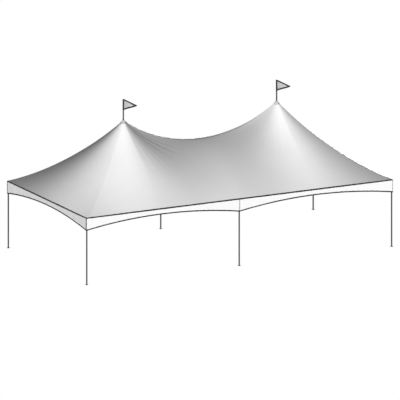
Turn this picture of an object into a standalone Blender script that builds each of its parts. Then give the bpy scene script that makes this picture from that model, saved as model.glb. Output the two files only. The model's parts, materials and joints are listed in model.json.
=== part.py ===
"""A two-bay high-peak frame tent: one fabric roof drawn up to two peaks by flying masts,
a scalloped valance, an aluminium frame on six legs and a pennant at each peak.

Metres, +Z up. The origin is on the ground under the middle of the roof, X runs along the
length and Y across it. The front is at -Y.
"""

import math

import bmesh
import bpy
from mathutils import Matrix, Vector

# Driving dimensions
BAY = 6.096                 # one square bay, 20 ft
HALF_BAY = BAY / 2
EAVE_HEIGHT = 2.4384        # top edge of the roof fabric, 8 ft
PEAK_HEIGHT = 4.912         # where the roof's broad slopes would meet over a mast
SADDLE_HEIGHT = 3.976       # lowest point of the ridge, between the peaks
SEAT = 0.0003               # gap between pieces that touch

# Roof and valance
ROOF_THICKNESS = 0.006      # measured straight down
CROWN_OPENING = 0.060       # radius of the hole in the fabric at a peak
TIP_RISE = 0.066            # how much higher the mast draws the fabric at the peak itself
TIP_REACH = 1.30            # and how far from the peak that still shows
PEAK_ROUNDING = 0.378       # 0 keeps the level lines square, 1 makes them round at a peak
ROUNDING_FADE = 2.126       # power with which that rounding dies out towards the eaves
END_HOLLOW = 0.217          # how far the slope to an end hangs below a straight line
FRONT_HOLLOW = -0.072       # the same to the front or back, where it arches instead
HIP_HOLLOW = 0.157          # added to both at the hips
SADDLE_BULGE = 0.583        # how far the slope from the saddle arches above a straight line
BULGE_FADE = 1.064          # power with which that bulge dies out towards the peaks
GORE_COLUMNS = 12           # facets across a gore and down it
GORE_ROWS = 8
ROW_GRADING = 1.5           # power that packs the facets closer towards the peak
VALANCE_THICKNESS = 0.005
VALANCE_SHALLOW = 0.203     # drop at the middle of a span, 8 in
VALANCE_DEEP = 0.457        # drop at the legs, 18 in
VALANCE_TOP = EAVE_HEIGHT - ROOF_THICKNESS - SEAT
HEM_STEPS = 16

# Frame
TUBE_RADIUS = 0.0254        # 2 in tube
TUBE_WALL = 0.0032
SOCKET_WALL = 0.0033
SOCKET_BORE = TUBE_RADIUS + SEAT
SOCKET_RADIUS = SOCKET_BORE + SOCKET_WALL
SOCKET_REACH = 0.140        # from the fitting's centre to a socket's mouth
SOCKET_FLOOR = 0.036        # from the fitting's centre to the bottom of a bore
TUBE_SIDES = 12
POST_TOP = 0.024            # top of the leg socket above the fitting's centre
LUG_REACH = 0.080           # from the leg's axis to the lug's end face
LUG_THICKNESS = 0.012
LUG_HEIGHT = 0.050
LUG_DROP = 0.075            # centre of a cable lug below the fitting's centre
FRAME_INSET = VALANCE_THICKNESS + SEAT + SOCKET_RADIUS
FRAME_HEIGHT = VALANCE_TOP - SOCKET_RADIUS
LEG_X = BAY - FRAME_INSET
LEG_Y = HALF_BAY - FRAME_INSET

# Feet
PLATE_WIDTH = 0.102         # 4 in
PLATE_THICKNESS = 0.0064
STAKE_HOLE_RADIUS = 0.008
STAKE_HOLE_OFFSET = 0.037   # from the plate's centre along X and along Y

# Masts, cables and crowns
HUB_HEIGHT = 2.205          # level at which the crossed cables meet
HUB_RADIUS = 0.070
HUB_THICKNESS = 0.060
MAST_RADIUS = 0.0254
MAST_WALL = 0.0032
CROWN_RADIUS = 0.0595       # the disc that stretches the fabric's opening
CROWN_TOP = PEAK_HEIGHT + TIP_RISE - 0.040
CROWN_THICKNESS = 0.040
CROWN_TAPER = 0.030
CAP_RADIUS = 0.130          # the soft cap that keeps rain out of the crown
CAP_TOP = PEAK_HEIGHT + TIP_RISE + 0.005
CAP_EDGE = 0.006            # thickness of its rim
CAP_LIFT = 0.003            # gap between its skirt and the fabric
CAP_LEVEL = 0.062           # radius out to which its underside is level, over the crown
CAP_SHOULDER = 0.070        # radius where the skirt meets the fabric
CAP_NECK_RADIUS = 0.034
CAP_SIDES = 32
CABLE_RADIUS = 0.0048       # 3/8 in wire rope
CABLE_SIDES = 8
CABLE_END_GAP = 0.0005      # the sloping cable's end face meets an upright one
FORK_RADIUS = 0.010
FORK_LENGTH = 0.060
TURNBUCKLE_RADIUS = 0.013
TURNBUCKLE_LENGTH = 0.240
TURNBUCKLE_START = 0.110    # from the outer end of the cable

# Flagstaffs and pennants
STAFF_RADIUS = 0.0254       # the frame's 2 in tube
STAFF_TOP = 5.745
STAFF_BORE_DEPTH = 0.035
STAFF_BUTTON_RADIUS = 0.030
STAFF_BUTTON_HEIGHT = 0.008
PENNANT_HOIST = 0.385
PENNANT_FLY = 0.555
PENNANT_DROOP = 0.108       # how far the tip hangs below the middle of the hoist
PENNANT_THICKNESS = 0.005
PENNANT_TIP = 0.004         # half the height of the blade's blunt tip
PENNANT_HEM = 0.003         # the sleeve's length above and below the blade
PENNANT_SLEEVE_WALL = 0.003

MATERIALS = {
    "roof_vinyl": ((0.86, 0.86, 0.86), 0.45, 0.0),
    "valance_vinyl": ((0.93, 0.93, 0.93), 0.45, 0.0),
    "pennant_cloth": ((0.62, 0.62, 0.63), 0.75, 0.0),
    "cap_vinyl": ((0.55, 0.55, 0.56), 0.50, 0.0),
    "leg_aluminium": ((0.30, 0.30, 0.31), 0.45, 1.0),
    "frame_aluminium": ((0.62, 0.63, 0.65), 0.38, 1.0),
    "cable_steel": ((0.38, 0.39, 0.40), 0.45, 1.0),
    "dark_steel": ((0.08, 0.08, 0.085), 0.50, 1.0),
}

SIDES = {"left": -1, "right": 1}
FACES = {"front": -1, "back": 1}


def clear_scene():
    for old_object in list(bpy.data.objects):
        bpy.data.objects.remove(old_object, do_unlink=True)


def new_collection(name):
    collection = bpy.data.collections.new(name)
    bpy.context.scene.collection.children.link(collection)
    return collection


def make_materials():
    for name, (colour, roughness, metallic) in MATERIALS.items():
        material = bpy.data.materials.new(name)
        material.use_nodes = True
        shader = material.node_tree.nodes["Principled BSDF"]
        shader.inputs["Base Color"].default_value = (*colour, 1.0)
        shader.inputs["Roughness"].default_value = roughness
        shader.inputs["Metallic"].default_value = metallic


clear_scene()
make_materials()
tent = new_collection("marquee_tent")
cutters = new_collection("cutters")


def mesh_from(bm, name):
    mesh = bpy.data.meshes.new(name)
    bmesh.ops.recalc_face_normals(bm, faces=bm.faces)
    bm.to_mesh(mesh)
    bm.free()
    return mesh


def add_part(name, mesh, material_name, smooth=False):
    if not mesh.materials:
        mesh.materials.append(bpy.data.materials[material_name])
    if smooth:
        mesh.shade_smooth()
        mesh.set_sharp_from_angle(angle=math.radians(35))
    part = bpy.data.objects.new(name, mesh)
    tent.objects.link(part)
    return part


def add_cutter(name, mesh):
    cutter = bpy.data.objects.new(name, mesh)
    cutter.hide_render = True
    cutter.display_type = "WIRE"
    cutters.objects.link(cutter)
    return cutter


def pointing(start, direction):
    """The matrix that puts a shape's base at start and its +Z along direction."""
    turn = Vector(direction).to_track_quat("Z", "Y")
    return Matrix.Translation(start) @ turn.to_matrix().to_4x4()


def add_cylinder(bm, radius, length, matrix, sides=TUBE_SIDES, capped=True):
    """A cylinder from z = 0 to z = length before the matrix places it."""
    bmesh.ops.create_cone(
        bm, cap_ends=capped, segments=sides, radius1=radius, radius2=radius, depth=length,
        matrix=matrix @ Matrix.Translation((0, 0, length / 2)),
    )


def add_turned(name, profile, matrix, material_name, sides=TUBE_SIDES):
    """A profile of (radius, height) points, outer side downwards, turned round Z."""
    mesh = bpy.data.meshes.new(name)
    points = [(radius, 0, height) for radius, height in profile]
    edges = [(index, index + 1) for index in range(len(points) - 1)]
    mesh.from_pydata(points, edges, [])
    part = add_part(name, mesh, material_name)
    part.matrix_world = matrix
    screw = part.modifiers.new("turned", "SCREW")
    screw.axis = "Z"
    screw.angle = math.tau
    screw.steps = sides
    screw.render_steps = sides
    screw.use_merge_vertices = True
    screw.merge_threshold = 0.00005
    screw.use_smooth_shade = True
    return part


def combine(base, others, operation):
    for other in others:
        modifier = base.modifiers.new(other.name, "BOOLEAN")
        modifier.operation = operation
        modifier.solver = "EXACT"
        modifier.object = other


def baked_mesh(source, name):
    """The finished mesh of an object with modifiers; the object is then removed."""
    evaluated = source.evaluated_get(bpy.context.evaluated_depsgraph_get())
    mesh = bpy.data.meshes.new_from_object(evaluated)
    mesh.name = name
    bpy.data.objects.remove(source, do_unlink=True)
    return mesh


# The roof's form

def roof_height(x, y):
    """Top of the fabric: an arched saddle between the peaks and a hood beyond each."""
    along = abs(x)
    across = abs(y)
    nearness = max(1 - math.hypot(along - HALF_BAY, across) / TIP_REACH, 0)
    return slope_height(along, across) + TIP_RISE * nearness ** 2


def slope_height(along, across):
    """The roof without the tips of its peaks."""
    if along < HALF_BAY:
        share = along / HALF_BAY
        ridge = SADDLE_HEIGHT + (PEAK_HEIGHT - SADDLE_HEIGHT) * share ** 2
        fall = across / HALF_BAY
        bulge = SADDLE_BULGE - (SADDLE_BULGE + FRONT_HOLLOW) * share ** BULGE_FADE
        return EAVE_HEIGHT + (ridge - EAVE_HEIGHT) * (1 - fall) * (1 + bulge * fall)
    outwards = along - HALF_BAY
    square = max(outwards, across) / HALF_BAY
    circle = math.hypot(outwards, across) / HALF_BAY
    end_share = (outwards / HALF_BAY / circle) ** 2
    fall = square + PEAK_ROUNDING * (1 - square ** ROUNDING_FADE) * (circle - square)
    hollow = FRONT_HOLLOW + (END_HOLLOW - FRONT_HOLLOW) * end_share
    hollow += HIP_HOLLOW * 4 * end_share * (1 - end_share)
    return PEAK_HEIGHT - (PEAK_HEIGHT - EAVE_HEIGHT) * fall * (1 + hollow * (1 - fall))


def add_roof_gore(name, place, columns, rows):
    """One gore of the roof. place(u, v) gives its plan point, u across it and v down it."""
    bm = bmesh.new()
    bmesh.ops.create_grid(bm, x_segments=columns, y_segments=rows, size=0.5)
    for vertex in bm.verts:
        x, y = place(vertex.co.x + 0.5, (vertex.co.y + 0.5) ** ROW_GRADING)
        vertex.co = (x, y, roof_height(x, y))
    lowered = bmesh.ops.extrude_face_region(bm, geom=bm.faces[:], use_keep_orig=True)
    new_verts = [item for item in lowered["geom"] if isinstance(item, bmesh.types.BMVert)]
    bmesh.ops.translate(bm, verts=new_verts, vec=(0, 0, -ROOF_THICKNESS))
    return add_part(name, mesh_from(bm, name), "roof_vinyl", smooth=True)


def gore_point(peak_x, outer, start, end, u, v):
    """A plan point on the ray from the crown's opening to a point of the bay's edge.

    start and end are edge points relative to the peak, with X counted outwards.
    The two rays at the gore's seams are set in by half a seat.
    """
    edge = start.lerp(end, u)
    ray = edge.normalized()
    point = (ray * CROWN_OPENING).lerp(edge, v)
    inward = (end - start).normalized()
    inward -= inward.dot(ray) * ray
    inward.normalize()
    if u < 0.0001:
        point += inward * SEAT / 2
    if u > 0.9999:
        point -= inward * SEAT / 2
    return peak_x + outer * point.x, point.y


def make_roof():
    """Four gores a bay, meeting at the hips; the inner ones meet in the saddle."""
    inner = SEAT / 2 - HALF_BAY
    gores = {
        "front": (Vector((inner, -HALF_BAY)), Vector((HALF_BAY, -HALF_BAY))),
        "end": (Vector((HALF_BAY, -HALF_BAY)), Vector((HALF_BAY, HALF_BAY))),
        "back": (Vector((HALF_BAY, HALF_BAY)), Vector((inner, HALF_BAY))),
        "saddle": (Vector((inner, HALF_BAY)), Vector((inner, -HALF_BAY))),
    }
    for side, outer in SIDES.items():
        for gore, (start, end) in gores.items():
            add_roof_gore(
                f"roof_{side}_{gore}",
                lambda u, v: gore_point(outer * HALF_BAY, outer, start, end, u, v),
                columns=GORE_COLUMNS, rows=GORE_ROWS,
            )


# The valance: six lengths of vinyl with a hem that rises between the legs

def add_valance(name, width, location, turn):
    """A hanging strip drawn in its own XY plane, then stood upright."""
    curve = bpy.data.curves.new(name, "CURVE")
    curve.dimensions = "2D"
    curve.fill_mode = "BOTH"
    curve.extrude = VALANCE_THICKNESS / 2
    curve.resolution_u = HEM_STEPS
    spline = curve.splines.new("BEZIER")
    spline.bezier_points.add(3)
    spline.use_cyclic_u = True
    top = VALANCE_TOP - EAVE_HEIGHT
    half = width / 2
    rise = VALANCE_DEEP - VALANCE_SHALLOW
    corners = [(-half, top), (-half, -VALANCE_DEEP), (half, -VALANCE_DEEP), (half, top)]
    for point, (x, y) in zip(spline.bezier_points, corners):
        point.handle_left_type = "FREE"
        point.handle_right_type = "FREE"
        point.co = (x, y, 0)
        point.handle_left = (x, y, 0)
        point.handle_right = (x, y, 0)
    # Handles two thirds of the way to the parabola's control point make the hem a parabola
    crest = -VALANCE_DEEP + rise * 4 / 3
    spline.bezier_points[1].handle_right = (-half / 3, crest, 0)
    spline.bezier_points[2].handle_left = (half / 3, crest, 0)
    curve.materials.append(bpy.data.materials["valance_vinyl"])
    valance = bpy.data.objects.new(name, curve)
    valance.location = location
    valance.rotation_euler = (math.radians(90), 0, turn)
    tent.objects.link(valance)


def make_valances():
    inset = VALANCE_THICKNESS / 2
    end_width = BAY - 2 * (VALANCE_THICKNESS + SEAT)
    for side, outer in SIDES.items():
        for face, facing in FACES.items():
            add_valance(
                f"valance_{face}_{side}", BAY - SEAT / 2,
                (outer * (HALF_BAY + SEAT / 4), facing * (HALF_BAY - inset), EAVE_HEIGHT), 0,
            )
        add_valance(
            f"valance_end_{side}", end_width,
            (outer * (BAY - inset), 0, EAVE_HEIGHT), math.radians(90),
        )


# The frame: hollow tubes pushed into the sockets of six fittings

def add_tube(name, start, direction, length, material_name):
    bm = bmesh.new()
    add_cylinder(bm, TUBE_RADIUS, length, pointing(start, direction), capped=False)
    tube = add_part(name, mesh_from(bm, name), material_name, smooth=True)
    shell = tube.modifiers.new("wall", "SOLIDIFY")
    shell.thickness = TUBE_WALL
    shell.offset = -1
    shell.use_even_offset = True


def leg_positions():
    """Plan position, name and kind of fitting of each leg."""
    for face, facing in FACES.items():
        yield f"{face}_left", (-LEG_X, facing * LEG_Y), "corner"
        yield f"{face}_middle", (0, facing * LEG_Y), "tee"
        yield f"{face}_right", (LEG_X, facing * LEG_Y), "corner"


def fitting_mesh(name, sockets, lug_angles):
    """A welded fitting: a leg socket, sockets along the eaves and a lug for each cable."""
    bm = bmesh.new()
    bottom = Matrix.Translation((0, 0, -SOCKET_REACH))
    add_cylinder(bm, SOCKET_RADIUS, SOCKET_REACH + POST_TOP, bottom)
    body = add_part(name, mesh_from(bm, name), "frame_aluminium")
    added = []
    bores = []
    for index, direction in enumerate([(0, 0, -1)] + sockets):
        bm = bmesh.new()
        add_cylinder(bm, SOCKET_RADIUS, SOCKET_REACH, pointing((0, 0, 0), direction))
        if index > 0:
            added.append(add_cutter(f"{name}_socket_{index}", mesh_from(bm, "socket")))
        else:
            bm.free()
        bm = bmesh.new()
        mouth = Vector(direction) * SOCKET_FLOOR
        add_cylinder(bm, SOCKET_BORE, SOCKET_REACH, pointing(mouth, direction))
        bores.append(add_cutter(f"{name}_bore_{index}", mesh_from(bm, "bore")))
    for index, angle in enumerate(lug_angles):
        bm = bmesh.new()
        turn = Matrix.Rotation(angle, 4, "Z")
        place = turn @ Matrix.Translation((LUG_REACH / 2, 0, -LUG_DROP))
        size = Matrix.Diagonal((LUG_REACH, LUG_THICKNESS, LUG_HEIGHT, 1))
        bmesh.ops.create_cube(bm, size=1, matrix=place @ size)
        added.append(add_cutter(f"{name}_lug_{index}", mesh_from(bm, "lug")))
    combine(body, added, "UNION")
    combine(body, bores, "DIFFERENCE")
    return baked_mesh(body, name)


def make_fittings():
    along = (1, 0, 0)
    back = (0, 1, 0)
    to_peak = math.atan2(LEG_Y, LEG_X - HALF_BAY)
    corner = fitting_mesh("corner_fitting", [along, back], [to_peak])
    to_peak = math.atan2(LEG_Y, HALF_BAY)
    tee = fitting_mesh("tee_fitting", [along, (-1, 0, 0), back], [to_peak, math.pi - to_peak])
    corner_turns = {"front_left": 0, "front_right": 90, "back_right": 180, "back_left": 270}
    for name, (x, y), kind in leg_positions():
        turn = corner_turns.get(name, 0 if y < 0 else 180)
        fitting = add_part(
            f"fitting_{name}", corner if kind == "corner" else tee, "frame_aluminium",
        )
        fitting.location = (x, y, FRAME_HEIGHT)
        fitting.rotation_euler = (0, 0, math.radians(turn))


def make_legs():
    """Each leg is a tube welded to a small plate with two holes for stakes."""
    length = FRAME_HEIGHT - SOCKET_FLOOR - SEAT
    bm = bmesh.new()
    add_cylinder(bm, TUBE_RADIUS, length, Matrix.Identity(4))
    body = add_part("leg", mesh_from(bm, "leg"), "leg_aluminium")
    bm = bmesh.new()
    slab = Matrix.Translation((0, 0, PLATE_THICKNESS / 2))
    size = Matrix.Diagonal((PLATE_WIDTH, PLATE_WIDTH, PLATE_THICKNESS, 1))
    bmesh.ops.create_cube(bm, size=1, matrix=slab @ size)
    combine(body, [add_cutter("plate", mesh_from(bm, "plate"))], "UNION")
    bm = bmesh.new()
    above_plate = Matrix.Translation((0, 0, PLATE_THICKNESS))
    add_cylinder(bm, TUBE_RADIUS - TUBE_WALL, length, above_plate)
    holes = [add_cutter("leg_bore", mesh_from(bm, "leg_bore"))]
    for corner in (-STAKE_HOLE_OFFSET, STAKE_HOLE_OFFSET):
        bm = bmesh.new()
        below = Matrix.Translation((corner, corner, -PLATE_THICKNESS))
        add_cylinder(bm, STAKE_HOLE_RADIUS, 3 * PLATE_THICKNESS, below)
        holes.append(add_cutter("stake_hole", mesh_from(bm, "stake_hole")))
    combine(body, holes, "DIFFERENCE")
    leg_mesh = baked_mesh(body, "leg")
    for name, (x, y), _ in leg_positions():
        leg = add_part(f"leg_{name}", leg_mesh, "leg_aluminium")
        leg.location = (x, y, 0)


def make_eave_tubes():
    """Each tube runs from one fitting to the next, clear of the bottoms of their bores."""
    clear = SOCKET_FLOOR + SEAT
    runs = []
    for face, facing in FACES.items():
        y = facing * LEG_Y
        runs.append((f"eave_tube_{face}_left", (clear - LEG_X, y), (1, 0, 0), LEG_X))
        runs.append((f"eave_tube_{face}_right", (clear, y), (1, 0, 0), LEG_X))
    for place, x in (("end_left", -LEG_X), ("middle", 0), ("end_right", LEG_X)):
        runs.append((f"cross_tube_{place}", (x, clear - LEG_Y), (0, 1, 0), 2 * LEG_Y))
    for name, (x, y), direction, span in runs:
        add_tube(name, (x, y, FRAME_HEIGHT), direction, span - 2 * clear, "frame_aluminium")


# The flying masts: each stands on four crossed cables and lifts the crown of a peak

def make_masts():
    bore = MAST_RADIUS - MAST_WALL
    hub_top = HUB_HEIGHT + HUB_THICKNESS / 2
    hub_bottom = HUB_HEIGHT - HUB_THICKNESS / 2
    crown_bottom = CROWN_TOP - CROWN_THICKNESS
    bore_top = crown_bottom + MAST_WALL
    profile = [
        (0, CROWN_TOP), (CROWN_RADIUS, CROWN_TOP), (CROWN_RADIUS, crown_bottom),
        (MAST_RADIUS, crown_bottom - CROWN_TAPER), (MAST_RADIUS, hub_top),
        (HUB_RADIUS, hub_top), (HUB_RADIUS, hub_bottom), (bore, hub_bottom),
        (bore, bore_top), (0, bore_top),
    ]
    for side, outer in SIDES.items():
        place = Matrix.Translation((outer * HALF_BAY, 0, 0))
        add_turned(f"mast_{side}", profile, place, "frame_aluminium")


def make_cables():
    """Four cables a bay, each from a fitting's lug to a flat of the mast's hub."""
    hub_flat = HUB_RADIUS * math.cos(math.pi / TUBE_SIDES)
    turnbuckle_end = TURNBUCKLE_START + TURNBUCKLE_LENGTH
    for side, outer in SIDES.items():
        hub = Vector((outer * HALF_BAY, 0, HUB_HEIGHT))
        for name, (x, y), _ in leg_positions():
            if x * outer < 0:
                continue
            lug = Vector((x, y, FRAME_HEIGHT - LUG_DROP))
            inward = hub - lug
            inward.z = 0
            inward.normalize()
            start = lug + inward * (LUG_REACH + CABLE_END_GAP)
            end = hub - inward * (hub_flat + CABLE_END_GAP)
            length = (end - start).length
            profile = [
                (0, length), (FORK_RADIUS, length), (FORK_RADIUS, length - FORK_LENGTH),
                (CABLE_RADIUS, length - FORK_LENGTH), (CABLE_RADIUS, turnbuckle_end),
                (TURNBUCKLE_RADIUS, turnbuckle_end), (TURNBUCKLE_RADIUS, TURNBUCKLE_START),
                (CABLE_RADIUS, TURNBUCKLE_START), (CABLE_RADIUS, FORK_LENGTH),
                (FORK_RADIUS, FORK_LENGTH), (FORK_RADIUS, 0), (0, 0),
            ]
            place = pointing(start, end - start)
            label = f"cable_{name}_{side}" if name.endswith("middle") else f"cable_{name}"
            add_turned(label, profile, place, "cable_steel", CABLE_SIDES)


# The peaks: a cap over the crown, a staff in its socket and a pennant on the staff

def make_peak_caps():
    """A turned cap whose skirt is then let down onto the fabric all round."""
    base = CROWN_TOP + SEAT
    bore = STAFF_RADIUS + SEAT
    bore_floor = CAP_TOP - STAFF_BORE_DEPTH
    rim = roof_height(HALF_BAY, CAP_RADIUS) + CAP_LIFT
    shoulder = roof_height(HALF_BAY, CAP_SHOULDER) + CAP_LIFT
    profile = [
        (0, bore_floor), (bore, bore_floor), (bore, CAP_TOP), (CAP_NECK_RADIUS, CAP_TOP),
        (CAP_RADIUS, rim + CAP_EDGE), (CAP_RADIUS, rim), (CAP_SHOULDER, shoulder),
        (CAP_LEVEL, base), (0, base),
    ]
    turned = add_turned("peak_cap", profile, Matrix.Identity(4), "cap_vinyl", CAP_SIDES)
    mesh = baked_mesh(turned, "peak_cap")
    for vertex in mesh.vertices:
        x, y, _ = vertex.co
        radius = math.hypot(x, y)
        if radius > (CAP_LEVEL + CAP_SHOULDER) / 2:
            vertex.co.z += roof_height(HALF_BAY + x, y) - roof_height(HALF_BAY, radius)
    for side, outer in SIDES.items():
        cap = add_part(f"peak_cap_{side}", mesh, "cap_vinyl")
        cap.location = (outer * HALF_BAY, 0, 0)
        cap.rotation_euler = (0, 0, 0 if outer > 0 else math.pi)


def make_flagstaffs():
    foot = CAP_TOP - STAFF_BORE_DEPTH + SEAT
    shoulder = STAFF_TOP - STAFF_BUTTON_HEIGHT
    profile = [
        (0, STAFF_TOP), (STAFF_BUTTON_RADIUS, STAFF_TOP), (STAFF_BUTTON_RADIUS, shoulder),
        (STAFF_RADIUS, shoulder), (STAFF_RADIUS, foot), (0, foot),
    ]
    for side, outer in SIDES.items():
        place = Matrix.Translation((outer * HALF_BAY, 0, 0))
        add_turned(f"flagstaff_{side}", profile, place, "dark_steel")


def make_pennants():
    """A sleeve sewn round the staff and a triangular blade that flies along +X."""
    bore = STAFF_RADIUS + SEAT
    sleeve = bore + PENNANT_SLEEVE_WALL
    top = STAFF_TOP - STAFF_BUTTON_HEIGHT - SEAT
    blade_height = PENNANT_HOIST - 2 * PENNANT_HEM
    for side, outer in SIDES.items():
        name = f"pennant_{side}"
        axis = Matrix.Translation((outer * HALF_BAY, 0, top - PENNANT_HOIST))
        bm = bmesh.new()
        add_cylinder(bm, sleeve, PENNANT_HOIST, axis)
        pennant = add_part(name, mesh_from(bm, name), "pennant_cloth")
        bm = bmesh.new()
        blade = Matrix.Translation((PENNANT_FLY / 2, 0, PENNANT_HOIST / 2))
        size = Matrix.Diagonal((PENNANT_FLY, PENNANT_THICKNESS, blade_height, 1))
        bmesh.ops.create_cube(bm, size=1, matrix=axis @ blade @ size)
        tip_height = top - PENNANT_HOIST / 2 - PENNANT_DROOP
        for vertex in bm.verts:
            if vertex.co.x > outer * HALF_BAY + PENNANT_FLY / 2:
                above = vertex.co.z > top - PENNANT_HOIST / 2
                vertex.co.z = tip_height + (PENNANT_TIP if above else -PENNANT_TIP)
        combine(pennant, [add_cutter(f"{name}_blade", mesh_from(bm, "blade"))], "UNION")
        bm = bmesh.new()
        below = axis @ Matrix.Translation((0, 0, -PENNANT_HOIST / 2))
        add_cylinder(bm, bore, 2 * PENNANT_HOIST, below)
        combine(pennant, [add_cutter(f"{name}_bore", mesh_from(bm, "bore"))], "DIFFERENCE")


make_roof()
make_valances()
make_fittings()
make_legs()
make_eave_tubes()
make_masts()
make_cables()
make_peak_caps()
make_flagstaffs()
make_pennants()
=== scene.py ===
# %% [markdown]
# A two-peak frame tent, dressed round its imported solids.
#
# The solids already say where every tube, cable and length of fabric is. This lesson gives
# each of them the surface that the eye expects: one continuous roof sheet with welded laps,
# a valance with black webbing, round aluminium tubes with pins and bolts, wire rope with
# turnbuckles, and two pennants. All lengths are in metres, the front is at -Y, and every
# piece keeps its place in its mesh, so that the object itself stays at the origin.

# %% Load the frame
import json
import math
from functools import partial

import bmesh
import bpy
from mathutils import Matrix, Vector, noise

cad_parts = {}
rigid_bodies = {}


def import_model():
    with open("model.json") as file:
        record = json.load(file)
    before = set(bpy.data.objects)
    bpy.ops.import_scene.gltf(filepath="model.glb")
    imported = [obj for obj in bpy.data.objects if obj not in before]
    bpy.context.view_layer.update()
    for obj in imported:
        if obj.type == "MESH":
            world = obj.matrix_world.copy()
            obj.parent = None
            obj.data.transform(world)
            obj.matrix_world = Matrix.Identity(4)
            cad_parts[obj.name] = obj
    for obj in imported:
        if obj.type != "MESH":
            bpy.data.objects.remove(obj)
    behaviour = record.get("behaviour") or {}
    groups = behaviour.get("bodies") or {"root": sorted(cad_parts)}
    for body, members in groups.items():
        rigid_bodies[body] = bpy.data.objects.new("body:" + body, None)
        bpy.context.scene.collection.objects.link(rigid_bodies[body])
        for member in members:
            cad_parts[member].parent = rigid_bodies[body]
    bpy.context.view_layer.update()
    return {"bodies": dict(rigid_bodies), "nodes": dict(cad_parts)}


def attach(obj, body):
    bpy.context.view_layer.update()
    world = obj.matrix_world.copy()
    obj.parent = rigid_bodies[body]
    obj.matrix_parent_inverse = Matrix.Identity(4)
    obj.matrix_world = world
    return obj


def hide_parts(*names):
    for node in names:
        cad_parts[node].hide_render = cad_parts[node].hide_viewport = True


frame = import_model()
BODY = list(frame["bodies"])[0]
print("body", BODY, "nodes", len(frame["nodes"]))

# %% [markdown]
# The tent is made of standard sizes, so a few driving dimensions give all the others. A bay
# is 20 ft square and the eave is 8 ft up. A peak stands over the middle of each bay.

# %% Driving dimensions
BAY = 6.096
HALF_BAY = BAY / 2
EAVE_HEIGHT = 2.4384
PEAK_HEIGHT = 4.912
SADDLE_HEIGHT = 3.976
print("two bays", 2 * BAY, "by", BAY, "m, peaks", round(PEAK_HEIGHT - EAVE_HEIGHT, 3), "above the eave")

# %% [markdown]
# The roof's form is a formula and not a list of points: an arched saddle between the two
# peaks and a hood beyond each of them, with the tips drawn up a little by the masts. Such a
# formula can be asked for a height anywhere, so laps, webbing and caps follow the same cloth.

# %% Roof formula
TIP_RISE = 0.066
TIP_REACH = 1.30
PEAK_ROUNDING = 0.378
ROUNDING_FADE = 2.126
BUILT_FORM = {"end": 0.217, "front": -0.072, "hip": 0.157, "bulge": 0.583, "bulge_fade": 1.064}


def roof_height(x, y, form=BUILT_FORM):
    """Top of the fabric over a plan point."""
    along = abs(x)
    across = abs(y)
    nearness = max(1 - math.hypot(along - HALF_BAY, across) / TIP_REACH, 0)
    return slope_height(along, across, form) + TIP_RISE * nearness ** 2


def slope_height(along, across, form):
    """The roof without the tips of its peaks. The form says how hollow its faces are."""
    if along < HALF_BAY:
        share = along / HALF_BAY
        ridge = SADDLE_HEIGHT + (PEAK_HEIGHT - SADDLE_HEIGHT) * share ** 2
        fall = across / HALF_BAY
        bulge = form["bulge"] - (form["bulge"] + form["front"]) * share ** form["bulge_fade"]
        return EAVE_HEIGHT + (ridge - EAVE_HEIGHT) * (1 - fall) * (1 + bulge * fall)
    outwards = along - HALF_BAY
    square = max(outwards, across) / HALF_BAY
    circle = math.hypot(outwards, across) / HALF_BAY
    end_share = (outwards / HALF_BAY / circle) ** 2
    fall = square + PEAK_ROUNDING * (1 - square ** ROUNDING_FADE) * (circle - square)
    hollow = form["front"] + (form["end"] - form["front"]) * end_share
    hollow += form["hip"] * 4 * end_share * (1 - end_share)
    return PEAK_HEIGHT - (PEAK_HEIGHT - EAVE_HEIGHT) * fall * (1 + hollow * (1 - fall))


print("saddle", round(roof_height(0, 0), 3), "corner", round(roof_height(BAY, HALF_BAY), 3))

# %% [markdown]
# The picture is a parallel projection, so the camera is orthographic. The directions of the
# eaves on the picture give its angles: it stands to the left of the front and looks down
# a little. Two square bays of 20 ft set the scale, which is the width that the frame spans.

# %% Camera
VIEW_AZIMUTH = math.radians(-27.366)
VIEW_ELEVATION = math.radians(14.077)
FRAME_WIDTH = 14.127
AIM = Vector((0.001, 0, 1.717))
CAMERA_DISTANCE = 60
CAMERA_CLIP = 400


def direction_from(azimuth, elevation):
    """Unit vector towards a viewer or a lamp. Azimuth 0 is the front, and +X is at 90 degrees."""
    level = math.cos(elevation)
    return Vector((math.sin(azimuth) * level, -math.cos(azimuth) * level, math.sin(elevation)))


def add_object(name, data):
    made_object = bpy.data.objects.new(name, data)
    bpy.context.scene.collection.objects.link(made_object)
    return made_object


def look_back(watcher, target, towards, distance):
    """Moves a camera or a lamp away from its target and turns it to face the target."""
    watcher.location = target + towards * distance
    watcher.rotation_mode = "QUATERNION"
    watcher.rotation_quaternion = (-towards).to_track_quat("-Z", "Y")


camera_data = bpy.data.cameras.new("camera")
camera_data.type = "ORTHO"
camera_data.ortho_scale = FRAME_WIDTH
camera_data.clip_end = CAMERA_CLIP
camera = add_object("camera", camera_data)
look_back(camera, AIM, direction_from(VIEW_AZIMUTH, VIEW_ELEVATION), CAMERA_DISTANCE)
bpy.context.scene.camera = camera
print("camera at", [round(part, 1) for part in camera.location])

# %% [markdown]
# Studio light for a white object is a matter of keeping planes apart. One broad low lamp
# stands at the front left, so that the front of the roof and its valance are brightest, the
# tops of the slopes are grey and the left end is darker. A second low lamp behind on the
# right keeps the other sides white, and it stays too low to reach what the camera sees.

# %% Lamps
KEY_LAMP = {"azimuth": -32.7, "elevation": 3.5, "strength": 4.43, "spread": 6}
BACK_LAMP = {"azimuth": 145, "elevation": 2, "strength": 3.8, "spread": 12}
LAMP_DISTANCE = 30


def add_lamp(name, azimuth, elevation, strength, spread):
    lamp_data = bpy.data.lights.new(name, "SUN")
    lamp_data.energy = strength
    lamp_data.angle = math.radians(spread)
    towards_lamp = direction_from(math.radians(azimuth), math.radians(elevation))
    look_back(add_object(name, lamp_data), Vector(), towards_lamp, LAMP_DISTANCE)


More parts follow.
